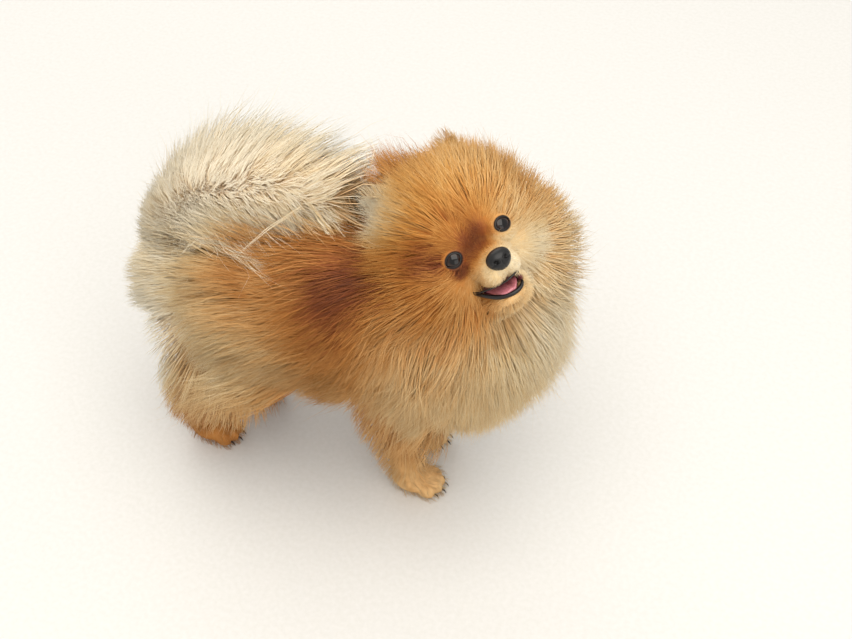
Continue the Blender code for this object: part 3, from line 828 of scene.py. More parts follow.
def sable_markings() -> Markings:
    """An orange sable's markings: a cream plume and rump, a rust saddle and shoulders, a golden head. Three
    of them also hold painted shade: in the valley between the ruff and the right shoulder, and in the gap
    where the plume meets the back of the head.
    """
    body = (
        Marking((-10.6, 1.0, 28.0), 4.0, 1.05),
        Marking((-15.0, 2.0, 24.0), 4.0, 0.9),
        Marking((-9.2, 6.6, 27.4), 4.0, 0.95),
        Marking((-3.0, 5.8, 28.3), 3.6, 0.9),
        Marking((-3.0, 2.0, 25.5), 2.2, 0.9),
        Marking((-15.5, -2.5, 19.0), 3.2, 0.85),
        Marking((-14.3, -4.1, 15.0), 3.6, 1.05),
        Marking((-12.0, 6.5, 18.0), 4.0, 0.76),
        Marking((-10.0, -6.5, 21.0), 3.0, 0.68),
        Marking((-6.3, -4.3, 23.0), 2.6, 0.35),
        Marking((-0.5, 1.5, 23.0), 3.0, 0.16),
        Marking((-1.6, -4.7, 22.4), 3.4, 0.5),
        Marking((0.4, -6.1, 22.0), 2.8, 0.1),
        # Painted shade: these two darken the valley between the ruff and the right shoulder, over the coat's
        # rust there.
        Marking((1.0, -4.7, 24.0), 1.8, 0.0, 0.2, 3.5),
        Marking((-0.5, -2.5, 24.0), 1.4, 0.1, 0.2, 1.2),
        Marking((0.0, 6.5, 22.0), 3.6, 0.3),
        Marking((-5.0, -8.0, 18.0), 3.4, 0.65),
        Marking((-6.0, 8.0, 18.0), 3.6, 0.48),
        Marking((-9.5, -8.2, 15.0), 3.2, 0.75),
        Marking((-9.0, -7.0, 10.5), 3.0, 0.6),
        Marking((-9.0, 7.0, 10.5), 3.0, 0.5),
        Marking((-11.5, -2.9, 2.5), 3.0, 0.42),
        Marking((-10.6, 2.8, 2.5), 3.0, 0.45),
        Marking((-1.0, -7.6, 14.0), 3.4, 0.5),
        Marking((-1.0, 7.6, 14.0), 3.4, 0.46),
        Marking((-3.0, 0.0, 10.0), 4.0, 0.35),
        Marking((5.5, -2.9, 6.5), 3.0, 0.55),
        Marking((4.8, 2.9, 6.5), 3.0, 0.55),
        Marking((6.5, -2.3, 1.5), 2.2, 0.65),
        Marking((5.6, 2.5, 1.5), 2.2, 0.72),
        Marking((1.2, -8.3, 19.0), 2.6, 0.4),
        Marking((4.3, -7.0, 22.5), 2.8, 0.5),
        Marking((7.2, -8.8, 18.4), 3.0, 0.65),
        Marking((9.5, -6.2, 16.0), 3.4, 0.6),
        Marking((12.0, -5.2, 14.7), 3.4, 0.75),
        Marking((14.2, -3.0, 17.6), 3.2, 0.75),
        Marking((16.4, -0.6, 20.0), 3.2, 0.9),
        Marking((16.0, 4.0, 24.0), 3.4, 0.74),
        Marking((11.0, 8.0, 20.0), 4.0, 0.6),
    )
    head = (
        head_marking((0.2, 0.0, 2.4), 2.4, 0.35, 0.8),
        head_marking((-2.0, -2.0, 4.4), 2.6, 0.56, 0.9),
        head_marking((-2.0, 2.6, 4.2), 2.6, 0.7, 0.8),
        head_marking((-4.5, 0.0, 6.4), 2.6, 0.5, 0.8),
        head_marking((0.8, -0.14, 0.55), 0.85, 0.0, 0.4, 2.2),
        head_marking((0.8, 0.8, 0.4), 0.45, 0.2, 0.4, 2.0),
        head_marking((0.4, -1.4, -0.2), 0.55, 0.16, 0.3, 2.0),
        head_marking((0.0, -2.15, -0.8), 0.42, 0.0, 0.0, 10.0),
        head_marking((-1.2, -3.9, 1.2), 1.3, 0.1, 0.4, 1.5),
        head_marking((1.6, 0.0, -0.6), 0.7, 0.66, 0.2),
        head_marking((1.9, 1.0, -1.6), 0.9, 0.9, 0.0),
        head_marking((1.9, -1.0, -1.9), 0.8, 0.82, 0.1),
        head_marking((0.4, -1.8, -1.8), 1.1, 0.62, 0.2),
        head_marking((0.4, 2.0, -1.4), 1.3, 0.8, 0.0),
        head_marking((-0.3, -3.4, -0.8), 1.8, 0.42, 0.4),
        head_marking((-0.3, 3.6, 0.2), 1.8, 0.65, 0.1),
        head_marking((-1.0, -3.0, -3.2), 2.0, 0.5, 0.3),
        head_marking((-1.0, 3.0, -3.2), 2.2, 0.85, 0.0),
        head_marking((0.8, 0.0, -4.8), 1.2, 0.66, 0.0),
        head_marking((-3.0, -6.0, 1.0), 2.6, 0.4, 0.5),
        head_marking((-3.0, 6.2, 1.0), 2.6, 0.6, 0.4),
        head_marking((-4.5, -3.9, 5.6), 1.5, 1.0, 0.4, 3.0),
        head_marking((-4.6, 3.9, 7.2), 1.4, 0.62, 0.7, 2.0),
        # Painted shade in the gap where the plume meets the back of the head, over the coat's rust there.
        Marking((0.8, 6.5, 27.5), 2.2, 0.3, 0.5, 2.0),
        head_marking((-7.0, 3.0, 4.0), 3.0, 0.42, 0.2),
        head_marking((-8.0, 0.0, 2.0), 3.6, 0.3, 0.2),
    )
    return Markings(body + head)


@dataclass(frozen=True)
class CoatFinish:
    """Keratin guard hair and under-wool, clean and brushed out.

    Dry keratin scatters most of the light, so the coat looks soft, with a broad weak gloss along the
    hairs and none of the hard lights of plastic. The hairs are darker at the root, where the light
    doesn't reach, and paler at the tip.

    Attributes:
        tones: The colours from rust to white cream.
        golden: The same on the golden places.
        shade: What the tone is multiplied by from the root outwards.
        grain: How much one tuft differs from the mean.
        tip: How much paler the tip is than the root.
        tip_middle: Where along the tuft, from 0 to 1, the tone is the marking's own.
        patch: The spacing of the paler and darker patches, in millimetres.
        cloud: How far their tones differ.
        roughness: The spread of the gloss.
        refraction: Keratin's index.
        gloss: The gloss's strength, weak because the hairs shade one another.
    """

    tones: Stops = (
        (0.0, "#4b2009"),
        (0.2, "#864419"),
        (0.4, "#b87936"),
        (0.58, "#d3a266"),
        (0.76, "#e6c997"),
        (0.9, "#f2e0bc"),
        (1.0, "#f8edd5"),
    )
    golden: Stops = (
        (0.0, "#5a2a0e"),
        (0.2, "#8f4c17"),
        (0.4, "#c07a2a"),
        (0.58, "#dca04c"),
        (0.76, "#ecc384"),
        (1.0, "#f8e8c8"),
    )
    shade: Stops = ((0.0, "#dcbb9a"), (0.4, "#f8ede1"), (0.7, "#ffffff"))
    grain: float = 0.09
    tip: float = 0.12
    tip_middle: float = 0.6
    patch: float = 14.0
    cloud: float = 0.22
    roughness: float = 0.62
    refraction: float = 1.55
    gloss: float = 0.28

    def material(self, name: str, on_skin: bool = False) -> bpy.types.Material:
        """The coat's material.

        Args:
            name: The material's name.
            on_skin: Whether it is for the wool that lies on the skin, which has no tip.

        Returns:
            The material.
        """
        made, shader = new_material(name, self.tones[3][1])
        tree = made.node_tree
        along = attribute(tree, "along")
        # Patches a finger's breadth apart, where the under-wool shows through more or less.
        patches = noise(tree, self.patch * MM, Detail=3.0, Roughness=0.6)
        tone = attribute(tree, "tone")
        for change in (
            swing(tree, attribute(tree, "grain"), self.grain * 2),
            swing(tree, patches, self.cloud),
            swing(tree, along, self.tip, self.tip_middle),
        ):
            tone = add_node(tree, "Math", {"operation": "ADD"}, {0: tone, 1: change}).outputs[0]
        colour = blend(
            tree, attribute(tree, "gold"), ramp(tree, tone, self.tones), ramp(tree, tone, self.golden)
        )
        if not on_skin:
            settings = {"data_type": "RGBA", "blend_type": "MULTIPLY", "Factor": 1.0}
            shade = ramp(tree, along, self.shade)
            colour = add_node(tree, "Mix", settings, {6: colour, 7: shade}).outputs[2]
        tree.links.new(colour, shader.inputs["Base Color"])
        gloss = {"Roughness": self.roughness, "IOR": self.refraction, "Specular IOR Level": self.gloss}
        set_inputs(shader, gloss)
        return made


# The skin


@dataclass
class Skin:
    """The dog's skin, one closed surface under the coat, with the sockets and the mouth let in.

    Attributes:
        voxel: The grain that the forms are fused at, in metres.
        smoothing: How often the fused surface is relaxed.
        lid: How far the flesh of the lids stands round an eye, in centimetres.
        opening: The radii of the hole before an eye, out, along the slit and up, in centimetres.
        opening_reach: How far out the hole's middle is, as a share of the eye's radius.
        socket_fit: How much smaller the socket is than the eye, in centimetres.
        wool: The spacing of the wool that shows on the skin, in millimetres.
        wool_depth: The wool's depth, in millimetres.
        bare_tones: The colours from skin under wool through the rims to the inside of the mouth.
        markings: The coat's markings.
    """

    voxel: float = 1.25 * MM
    smoothing: int = 5
    lid: float = 0.1
    opening: Triple = (0.6, 0.67, 0.55)
    opening_reach: float = 0.95
    socket_fit: float = 0.02
    wool: float = 1.2
    wool_depth: float = 0.5
    bare_tones: Stops = ((0.0, "#c9976a"), (0.45, "#33201b"), (1.0, "#6e343c"))
    markings: Markings = field(default_factory=sable_markings)

    def forms(self) -> list[Shape]:
        """The closed forms that make the skin."""
        made = [Limb(rows).shape() for rows in (FORMS.torso, FORMS.neck, FORMS.chest, FORMS.tail)]
        made += [Limb(rows, Place.HEAD).shape() for rows in (FORMS.muzzle, FORMS.jaw)]
        for lump in (FORMS.skull, FORMS.brow, FORMS.cheek, FORMS.flews, FORMS.lip_fold, FORMS.nape):
            made += lump.shapes()
        for name, (skin, _) in FORMS.legs().items():
            made.append(skin.shape())
            made += Paw(name).flesh()
        for side in SIDES:
            eye = Eye(side)
            made.append(ball(eye.centre, np.full(3, eye.radius + self.lid) * CM, eye.axes))
            made.append(EAR.shape(side))
        return made

    def build(self) -> bpy.types.Object:
        """Fuses the forms, lets in the sockets and the mouth, and relaxes the surface."""
        skin = Shape.joined(self.forms()).object("skin")
        self.fuse(skin, self.voxel)
        openings = []
        for side in SIDES:
            eye = Eye(side)
            before = eye.centre + eye.axes[:, 0] * eye.radius * self.opening_reach * CM
            openings.append(ball(before, np.array(self.opening) * CM, eye.axes))
            openings.append(ball(eye.centre, np.full(3, eye.radius - self.socket_fit) * CM, eye.axes))
        openings.append(Limb(FORMS.mouth, Place.HEAD).shape())
        for index, opening in enumerate(openings):
            cutter = opening.object(f"opening{index}")
            boolean = skin.modifiers.new("opening", "BOOLEAN")
            boolean.operation = "DIFFERENCE"
            boolean.solver = "MANIFOLD"
            boolean.object = cutter
            self.apply(skin)
            discard(cutter)
        relax = skin.modifiers.new("relax", "SMOOTH")
        relax.factor = 0.5
        relax.iterations = self.smoothing
        self.apply(skin)
        skin.data.shade_smooth()
        self.paint(skin)
        self.dress(skin)
        return skin

    @staticmethod
    def apply(obj: bpy.types.Object) -> None:
        """Makes the object's modifiers its mesh."""
        bpy.context.view_layer.update()
        graph = bpy.context.evaluated_depsgraph_get()
        made = bpy.data.meshes.new_from_object(obj.evaluated_get(graph))
        old = obj.data
        obj.modifiers.clear()
        obj.data = made
        bpy.data.meshes.remove(old)

    @classmethod
    def fuse(cls, obj: bpy.types.Object, voxel: float) -> None:
        """Makes overlapping closed forms one surface."""
        remesh = obj.modifiers.new("fuse", "REMESH")
        remesh.mode = "VOXEL"
        remesh.voxel_size = voxel
        cls.apply(obj)

    def paint(self, skin: bpy.types.Object) -> None:
        """Writes the coat's markings and the bare places on the skin's vertices."""
        points = Shape.of(skin).points
        tone, gold = self.markings.at(points)
        # The wool lies deep in the coat, so it takes the tone that a tuft has a third of the way out.
        along, grain = np.full(len(points), 0.3), np.full(len(points), 0.5)
        set_attribute(skin.data, "tone", tone)
        set_attribute(skin.data, "gold", gold)
        set_attribute(skin.data, "along", along)
        set_attribute(skin.data, "grain", grain)
        set_attribute(skin.data, "bare", bare_skin(points))

    def dress(self, skin: bpy.types.Object) -> None:
        """Gives the skin its wool and its bare, dark edges."""
        made = CoatFinish().material("under_wool_on_skin", on_skin=True)
        tree = made.node_tree
        shader = tree.nodes["Principled BSDF"]
        wool = shader.inputs["Base Color"].links[0].from_socket
        bare = attribute(tree, "bare")
        colour = blend(tree, bare, wool, ramp(tree, bare, self.bare_tones))
        tree.links.new(colour, shader.inputs["Base Color"])
        # Wool about a millimetre across, which is as fine as the render can show it.
        grain = noise(tree, self.wool * MM, Detail=4.0)
        settings = {"Strength": 0.5, "Distance": self.wool_depth * MM}
        bump = add_node(tree, "Bump", settings, {"Height": grain})
        tree.links.new(bump.outputs[0], shader.inputs["Normal"])
        skin.data.materials.clear()
        skin.data.materials.append(made)


def set_attribute(mesh: bpy.types.Mesh, name: str, values: Array) -> None:
    """Writes one number for each vertex of a mesh."""
    made = mesh.attributes.new(name, "FLOAT", "POINT")
    made.data.foreach_set("value", values.astype(np.float32).ravel())


# How far the mouth's bare skin goes past its half width and depth, in centimetres.
MOUTH_EDGE = (0.22, 0.18)

# The half width and height of the dark rim round an eye, in centimetres, and how bare it is.
EYE_RIM = (0.7, 0.58)
RIM_BARE = 0.62


def bare_skin(places: Array) -> Array:
    """How bare the skin is at places in the model: 1 in the mouth, and less at the rims of the eyes."""
    head = DOG.to_head(places)
    line, radii = Limb(FORMS.mouth, Place.HEAD).line()
    centre = DOG.to_head(line)
    bare = np.zeros(len(places))
    for point, (wide, deep) in zip(centre, radii / CM):
        local = (head - point) / np.array((1.0, wide + MOUTH_EDGE[0], deep + MOUTH_EDGE[1]))
        bare = np.maximum(bare, 1 - smooth_step(np.linalg.norm(local, axis=1), 0.85, 1.1))
    for side in SIDES:
        eye = Eye(side)
        local = (places - eye.centre) @ eye.axes / CM
        off = np.linalg.norm(local[:, 1:] / np.array(EYE_RIM), axis=1)
        bare = np.maximum(bare, RIM_BARE * (1 - smooth_step(off, 0.9, 1.15)) * (local[:, 0] > 0))
    return bare


@dataclass(frozen=True)
class Paw:
    """A small round cat-like foot with four toes and their claws.

    Attributes:
        leg: The leg's name.
        toes: The middle of each toe ahead of, beside and above the foot's place.
        toe_radii: Along, across and up.
        claw_root: Where a claw starts, as a share of the toe's length, and how far below its middle.
        claw_bend: A claw's middle and end, from its root.
        claw_size: Its half depth at the root and at the end.
        claw_sides: Its half width as a share of its half depth.
    """

    leg: str
    toes: tuple[Triple, ...] = (
        (1.55, -0.95, 0.95),
        (2.0, -0.35, 1.05),
        (2.0, 0.35, 1.05),
        (1.55, 0.95, 0.95),
    )
    toe_radii: Triple = (0.8, 0.42, 0.82)
    claw_root: tuple[float, float] = (0.75, -0.1)
    claw_bend: tuple[Triple, Triple] = ((0.32, 0, -0.1), (0.5, 0, -0.42))
    claw_size: tuple[float, float] = (0.13, 0.02)
    claw_sides: float = 0.8

    def flesh(self) -> list[Shape]:
        """The foot and its toes."""
        foot = np.array((*FEET[self.leg], 0.0))
        paw = FORMS.paw
        made = [ball(DOG.on_body(foot + paw.centre), np.array(paw.radii) * CM, np.eye(3))]
        made += [ball(DOG.on_body(foot + toe), np.array(self.toe_radii) * CM, np.eye(3)) for toe in self.toes]
        return made

    def claws(self) -> list[Shape]:
        """A small curved claw at the end of each toe."""
        foot = np.array((*FEET[self.leg], 0.0))
        made = []
        for toe in self.toes:
            ahead, below = self.claw_root
            root = foot + toe + (self.toe_radii[0] * ahead, 0, below)
            line = smooth_line([root, *(root + bend for bend in self.claw_bend)], 4)
            size = np.linspace(*self.claw_size, len(line)) * CM
            made.append(tube(DOG.on_body(line), size * self.claw_sides, size, np.array((0.0, 1.0, 0.0)), 8))
        return made


# The eyes, nose and mouth


@dataclass(frozen=True)
class Eye:
    """A round dark eye, set under its lids.

    Attributes:
        side: 1 for the left, -1 for the right.
        radius: Of the ball, in centimetres.
        slit: Half the width of the opening between the lids, along the slit.
        gape: Half its height.
        outward: How far the eye looks to its own side.
        upward: How far it looks up.
        slant: How far the slit's outer end is raised.
        cornea: How far the cornea stands out, as a share of the radius.
        lid_profile: Round a lid's section, how far each point is past the opening, in centimetres, and
            its distance from the eye's middle as a share of the radius.
    """

    side: int
    radius: float = 0.86
    slit: float = 0.53
    gape: float = 0.42
    outward: float = 0.24
    upward: float = 0.06
    slant: float = 0.12
    cornea: float = 0.045
    lid_profile: tuple[tuple[float, float], ...] = (
        (0.0, 0.99),
        (-0.02, 1.04),
        (0.03, 1.09),
        (0.1, 1.1),
        (0.16, 1.07),
        (0.2, 0.98),
        (0.09, 0.92),
    )

    @property
    def centre(self) -> Array:
        """The ball's middle in the model."""
        return DOG.on_head((-DOG.eye_depth, self.side * DOG.eye_spacing / 2, 0))

    @property
    def axes(self) -> Array:
        """Out through the pupil, along the slit, and up."""
        ahead, left, up = DOG.head.T
        out = unit(ahead + self.side * self.outward * left + self.upward * up)
        slit = unit(np.cross(up + self.side * self.slant * left, out))
        return np.stack((out, slit, np.cross(out, slit)), axis=1)

    def build(self) -> bpy.types.Object:
        """The eyeball, with a slight bulge for the cornea."""
        name = "eye_left" if self.side > 0 else "eye_right"
        shape = ball(self.centre, np.full(3, self.radius) * CM, self.axes, 40, 48)
        local = (shape.points - self.centre) @ self.axes / (self.radius * CM)
        bulge = self.cornea * smooth_step(local[:, 0], 0.75, 0.97)
        shape.points = self.centre + (local * (1 + bulge)[:, None] * self.radius * CM) @ self.axes.T
        eye = shape.object(name + "_ball")
        off = np.degrees(np.arccos(np.clip(local[:, 0] / np.linalg.norm(local, axis=1), -1, 1)))
        set_attribute(eye.data, "off_axis", off / 90)
        eye.data.materials.append(EyeFinish().material())
        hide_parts(name)
        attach(eye, BODY)
        return eye

    def lids(self, columns: int = 48) -> Shape:
        """The rim of dark skin round the opening, as a closed band on the ball."""
        angle = np.arange(columns) * (2 * math.pi / columns)
        cosine, sine = np.cos(angle), np.sin(angle)
        # The inner corner is drawn out towards the nose, and the upper lid is the rounder.
        inner = np.maximum(cosine * self.side, 0) ** 4
        wide = self.slit * (1 + 0.22 * inner)
        high = self.gape * np.where(sine > 0, 1.0, 0.9)
        sine = np.sign(sine) * np.abs(sine) ** 1.25
        rings = []
        for grow, reach in self.lid_profile:
            flat = np.stack((cosine * (wide + grow) * 0.98, sine * (high + grow)), -1)
            off = np.linalg.norm(flat, axis=1)
            out = np.sqrt(np.maximum((self.radius * reach) ** 2 - off**2, 0.02))
            rings.append(self.centre + np.concatenate([out[:, None], flat], 1) @ self.axes.T * CM)
        rings = np.array(rings + rings[:1])
        count = len(rings) - 1
        faces = grid_faces(count + 1, columns) % (count * columns)
        return Shape(rings[:-1].reshape(-1, 3), faces).facing_out()


@dataclass(frozen=True)
class EyeFinish:
    """A living eye: a wet clear cornea over a brown iris and a wide black pupil.

    The tear film is as smooth as glass, so the sky stands in the eye as a sharp pale light, and the
    brown of the iris shows only at the pupil's edge.

    Attributes:
        pupil: The pupil's colour.
        iris: The iris's colour.
        rim: The colour of the dark ring round the iris.
        white: The colour of the white, in the lids' shade.
        roughness: The spread of the gloss.
        refraction: The cornea's index.
        gloss: The strength of the eye's own gloss, weak because the tear film carries most of it.
        film: How much of the tear film lies on it.
        film_roughness: The spread of the film's gloss.
    """

    pupil: str = "#0a0808"
    iris: str = "#24130b"
    rim: str = "#0e0807"
    white: str = "#6e5a4e"
    roughness: float = 0.05
    refraction: float = 1.376
    gloss: float = 0.2
    film: float = 0.6
    film_roughness: float = 0.02

    def material(self) -> bpy.types.Material:
        """The eye's material, by how far a place is off the eye's axis."""
        made, shader = new_material("wet_cornea_over_brown_iris", self.iris)
        tree = made.node_tree
        stops = (
            (0.0, self.pupil),
            (0.2, self.pupil),
            (0.24, self.iris),
            (0.42, self.iris),
            (0.47, self.rim),
            (0.56, self.rim),
            (0.62, self.white),
        )
        tree.links.new(ramp(tree, attribute(tree, "off_axis"), stops), shader.inputs["Base Color"])
        gloss = {"Roughness": self.roughness, "IOR": self.refraction, "Specular IOR Level": self.gloss}
        set_inputs(shader, gloss)
        set_inputs(shader, {"Coat Weight": self.film, "Coat Roughness": self.film_roughness})
        return made


@dataclass(frozen=True)
class BareSkinFinish:
    """Bare pigmented skin, soft and a little moist.

    It is finely creased, so its gloss breaks up into small lights, sharper where it is wet, and its colour is
    painted darker in the creases as shade.

    Attributes:
        name: What the skin is.
        dark: The colour in the creases, darker there as painted shade.
        light: The colour between them.
        crease: The creases' spacing, in millimetres.
        depth: Their depth, in millimetres.
        roughness: The spread of the gloss.
        wet: How much of a clear film lies on it.
        refraction: Moist skin's index.
        film_roughness: The spread of the film's gloss.
    """

    name: str
    dark: str
    light: str
    crease: float
    depth: float
    roughness: float
    wet: float
    refraction: float = 1.42
    film_roughness: float = 0.12

    def material(self) -> bpy.types.Material:
        """The skin's material."""
        made, shader = new_material(self.name, self.light)
        tree = made.node_tree
        place = add_node(tree, "TexCoord").outputs["Object"]
        settings = {"feature": "DISTANCE_TO_EDGE", "Scale": 1 / (self.crease * MM)}
        cells = add_node(tree, "TexVoronoi", settings, {"Vector": place}).outputs["Distance"]
        # Painted shade: the colour darkens into the creases that the bump dents.
        colour = ramp(tree, cells, ((0.0, self.dark), (0.35, self.light)))
        tree.links.new(colour, shader.inputs["Base Color"])
        bump = add_node(tree, "Bump", {"Strength": 1.0, "Distance": self.depth * MM}, {"Height": cells})
        tree.links.new(bump.outputs[0], shader.inputs["Normal"])
        set_inputs(shader, {"Roughness": self.roughness, "IOR": self.refraction})
        set_inputs(shader, {"Coat Weight": self.wet, "Coat Roughness": self.film_roughness})
        return made


NOSE_LEATHER = BareSkinFinish("moist_black_nose_leather", "#050505", "#111011", 0.75, 0.1, 0.42, 0.15)
LID_SKIN = BareSkinFinish("dark_lid_skin", "#080505", "#160d0b", 0.5, 0.05, 0.45, 0.12)
LIP_SKIN = BareSkinFinish("black_lip_skin", "#060404", "#150d0c", 0.8, 0.1, 0.4, 0.25)
TONGUE_FLESH = BareSkinFinish("wet_pink_tongue", "#b0606c", "#d98f96", 0.6, 0.06, 0.36, 0.5)
CLAW_HORN = BareSkinFinish("worn_dark_claw_horn", "#1c1512", "#3b2c24", 1.6, 0.02, 0.35, 0.1)


@dataclass(frozen=True)
class Nose:
    """The bare tip of the nose, with its nostrils and the groove between them.

    Attributes:
        centre: Its middle, in the head's centimetres.
        radii: Along, across and up.
        nostril: The middle of the left nostril on the front, across and up, as shares of the radii.
    """

    centre: Triple = (2.5, 0.0, -1.35)
    radii: Triple = (0.72, 0.88, 0.76)
    nostril: tuple[float, float] = (0.46, -0.02)

    def build(self) -> bpy.types.Object:
        """The nose, shaped from a ball."""
        centre = DOG.on_head(self.centre)
        shape = ball(centre, np.ones(3) * CM, DOG.head, 64, 80)
        local = (shape.points - centre) @ DOG.head / CM
        x, y, z = local.T
        # Broad and flat above, narrower below, with a rounded front.
        wide = 1.0 + 0.12 * z
        front = smooth_step(x, 0.0, 0.5)
        dent = np.zeros(len(x))
        for side in SIDES:
            across = (y * side - self.nostril[0]) / 0.2
            up = (z - self.nostril[1] - 0.25 * (y * side - self.nostril[0])) / 0.17
            dent += 0.42 * np.exp(-(across**2 + up**2)) * front
            slit_across = (y * side - self.nostril[0] - 0.26) / 0.22
            slit_up = (z - self.nostril[1] + 0.16) / 0.08
            dent += 0.22 * np.exp(-(slit_across**2 + slit_up**2)) * front
        groove = 0.1 * np.exp(-((y / 0.06) ** 2)) * smooth_step(-z, -0.2, 0.35) * front
        reach = 1 - dent - groove
        local = np.stack((x * reach, y * wide * (1 - 0.3 * dent), z * (1 - 0.06 * (z > 0))), -1)
        shape.points = DOG.on_head(np.array(self.centre) + local * np.array(self.radii))
        nose = shape.object("nose_leather")
        nose.data.materials.append(NOSE_LEATHER.material())
        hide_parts("nose")
        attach(nose, BODY)
        return nose


@dataclass(frozen=True)
class Mouth:
    """The open, smiling mouth: black lips above and below, and the tongue.

    Attributes:
        upper: The edge of the upper lip from its right end to its left, in the head's centimetres.
        lower: The edge of the lower lip, the same.
        lip: Half the thickness of the upper and of the lower lip, in centimetres.
        tongue_rows: The tongue's stations.
        tongue_lift: How far its left edge is raised, in centimetres.
    """

    upper: tuple[Triple, ...] = (
        (-1.0, -2.25, -2.5),
        (0.1, -1.95, -2.74),
        (0.8, -1.4, -2.86),
        (1.5, -0.8, -2.9),
        (1.95, -0.3, -2.9),
        (2.0, 0.2, -2.86),
        (1.8, 0.6, -2.84),
        (1.45, 0.8, -3.05),
        (1.2, 0.74, -3.6),
    )
    lower: tuple[Triple, ...] = (
        (-1.0, -2.25, -2.55),
        (0.1, -1.85, -3.05),
        (0.7, -1.45, -3.45),
        (1.1, -1.0, -3.75),
        (1.4, -0.4, -3.92),
        (1.45, 0.1, -3.95),
        (1.35, 0.5, -3.85),
        (1.2, 0.72, -3.65),
    )
    lip: tuple[float, float] = (0.075, 0.17)
    tongue_rows: tuple[Row, ...] = (
        (-1.6, -0.4, -3.1, 0.95, 0.32),
        (0.1, -0.3, -3.4, 0.92, 0.28),
        (1.0, -0.2, -3.58, 0.8, 0.24),
        (1.35, -0.15, -3.66, 0.56, 0.16),
    )
    tongue_lift: float = 0.28

    def lips(self) -> Shape:
        """Both lips, each a rounded band from corner to corner."""
        made = []
        for points, lip in zip((self.upper, self.lower), self.lip):
            line = smooth_line(points, 6)
            size = lip * (1 - 0.45 * np.linspace(-1, 1, len(line)) ** 2) * CM
            made.append(tube(DOG.on_head(line), size * 1.25, size, DOG.head[:, 0], 12))
        return Shape.joined(made)

    def tongue(self) -> Shape:
        """The tongue, with a groove down its middle."""
        shape = Limb(self.tongue_rows, Place.HEAD).shape()
        fine = shape.object("tongue_cage")
        fine.modifiers.new("round", "SUBSURF").levels = 2
        bpy.context.view_layer.update()
        shape = Shape.of(fine)
        discard(fine)
        local = DOG.to_head(shape.points)
        local[:, 2] -= 0.09 * np.exp(-((local[:, 1] / 0.16) ** 2))
        local[:, 2] += self.tongue_lift * smooth_step(local[:, 1], -0.1, 0.75)
        shape.points = DOG.on_head(local)
        return shape

    def build(self) -> list[bpy.types.Object]:
        """The lips and the tongue as two pieces."""
        lips = self.lips().object("lips")
        lips.data.materials.append(LIP_SKIN.material())
        tongue = self.tongue().object("tongue_flesh")
        tongue.data.materials.append(TONGUE_FLESH.material())
        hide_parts("tongue")
        for piece in (lips, tongue):
            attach(piece, BODY)
        return [lips, tongue]


# The coat


@dataclass(frozen=True)
class Bone:
    """A line inside the body that the coat's root is measured from.

    Attributes:
        part: The part of the coat that grows round it.
        line: Points along it, in the model.
        reach: The skin's distance from it at each point.
    """

    part: Part
    line: Array
    reach: Array

    def nearest(self, points: Array) -> tuple[Array, Array, Array]:
        """Where points lie along the bone.

        Args:
            points: Places in the model.

        Returns:
            The distance as a share of the reach, how far along from 0 to 1, and the bone's way there.
        """
        best = np.full(len(points), np.inf)
        along = np.zeros(len(points))
        way = np.zeros((len(points), 3))
        count = len(self.line) - 1
        for i, (a, b) in enumerate(zip(self.line, self.line[1:])):
            span = b - a
            t = np.clip((points - a) @ span / (span @ span), 0, 1)
            gap = np.linalg.norm(points - (a + t[:, None] * span), axis=1)
            gap = gap / mixed(self.reach[i], self.reach[i + 1], t)
            closer = gap < best
            best = np.where(closer, gap, best)
            along = np.where(closer, (i + t) / count, along)
            way[closer] = unit(span)
        return best, along, way


@dataclass
class Roots:
    """Where tufts grow.

    Attributes:
        place: Their places on the skin.
        normal: The skin's normal there.
        part: The part's number.
        along: How far along the bone, from 0 to 1.
        around: The angle round the bone, in turns.
        way: The bone's way.
        bone: The bone's number.
    """

    place: Array
    normal: Array
    part: Array
    along: Array
    around: Array
    way: Array
    bone: Array

    def only(self, keep: Array) -> "Roots":
        """The roots that keep picks."""
        return Roots(*(values[keep] for values in vars(self).values()))

    def are(self, *parts: Part) -> Array:
        """Which of the roots belong to the parts."""
        return np.isin(self.part, [part.value for part in parts])

    def growth(self, name: str) -> Array:
        """One number of each root's growth."""
        by_part = np.array([getattr(GROWTH[part], name) for part in Part])
        return by_part[self.part]


@dataclass(frozen=True)
class Growth:
    """How the hair of one part grows.

    Attributes:
        lean: The angle between a tuft and the skin's normal, in degrees.
        rise: How steeply it leaves the skin, as a share of that angle.
        reach: The tuft's length as a share of the way to the tips' surface.
        shortest: In centimetres.
        longest: In centimetres.
        width: A tuft's width, in millimetres, before its length and chance change it.
        clump: How far tufts draw together at their tips, from 0 to 1.
        curl: How far a tuft strays to the side, as a share of its length.
        droop: How far its tip hangs, as a share of its length.
    """

    lean: float
    rise: float
    reach: float
    shortest: float
    longest: float
    width: float
    clump: float
    curl: float
    droop: float


GROWTH = {
    Part.FACE: Growth(56, 0.7, 1.0, 0.3, 6.0, 0.42, 0.12, 0.1, 0.0),
    Part.CROWN: Growth(46, 0.6, 1.04, 1.2, 7.0, 0.44, 0.14, 0.11, 0.0),
    Part.RUFF: Growth(42, 0.55, 1.06, 2.0, 11.0, 0.54, 0.2, 0.11, 0.03),
    Part.TORSO: Growth(46, 0.55, 1.06, 2.0, 9.5, 0.57, 0.2, 0.11, 0.03),
    Part.TAIL: Growth(34, 0.6, 1.06, 2.5, 11.0, 0.54, 0.22, 0.13, 0.03),
    Part.FORELEG: Growth(54, 0.6, 1.04, 0.8, 5.0, 0.48, 0.25, 0.09, 0.0),
    Part.HINDLEG: Growth(52, 0.6, 1.04, 0.8, 7.0, 0.54, 0.25, 0.09, 0.0),
    Part.EAR: Growth(34, 0.6, 1.0, 0.4, 1.6, 0.46, 0.15, 0.1, 0.0),
}


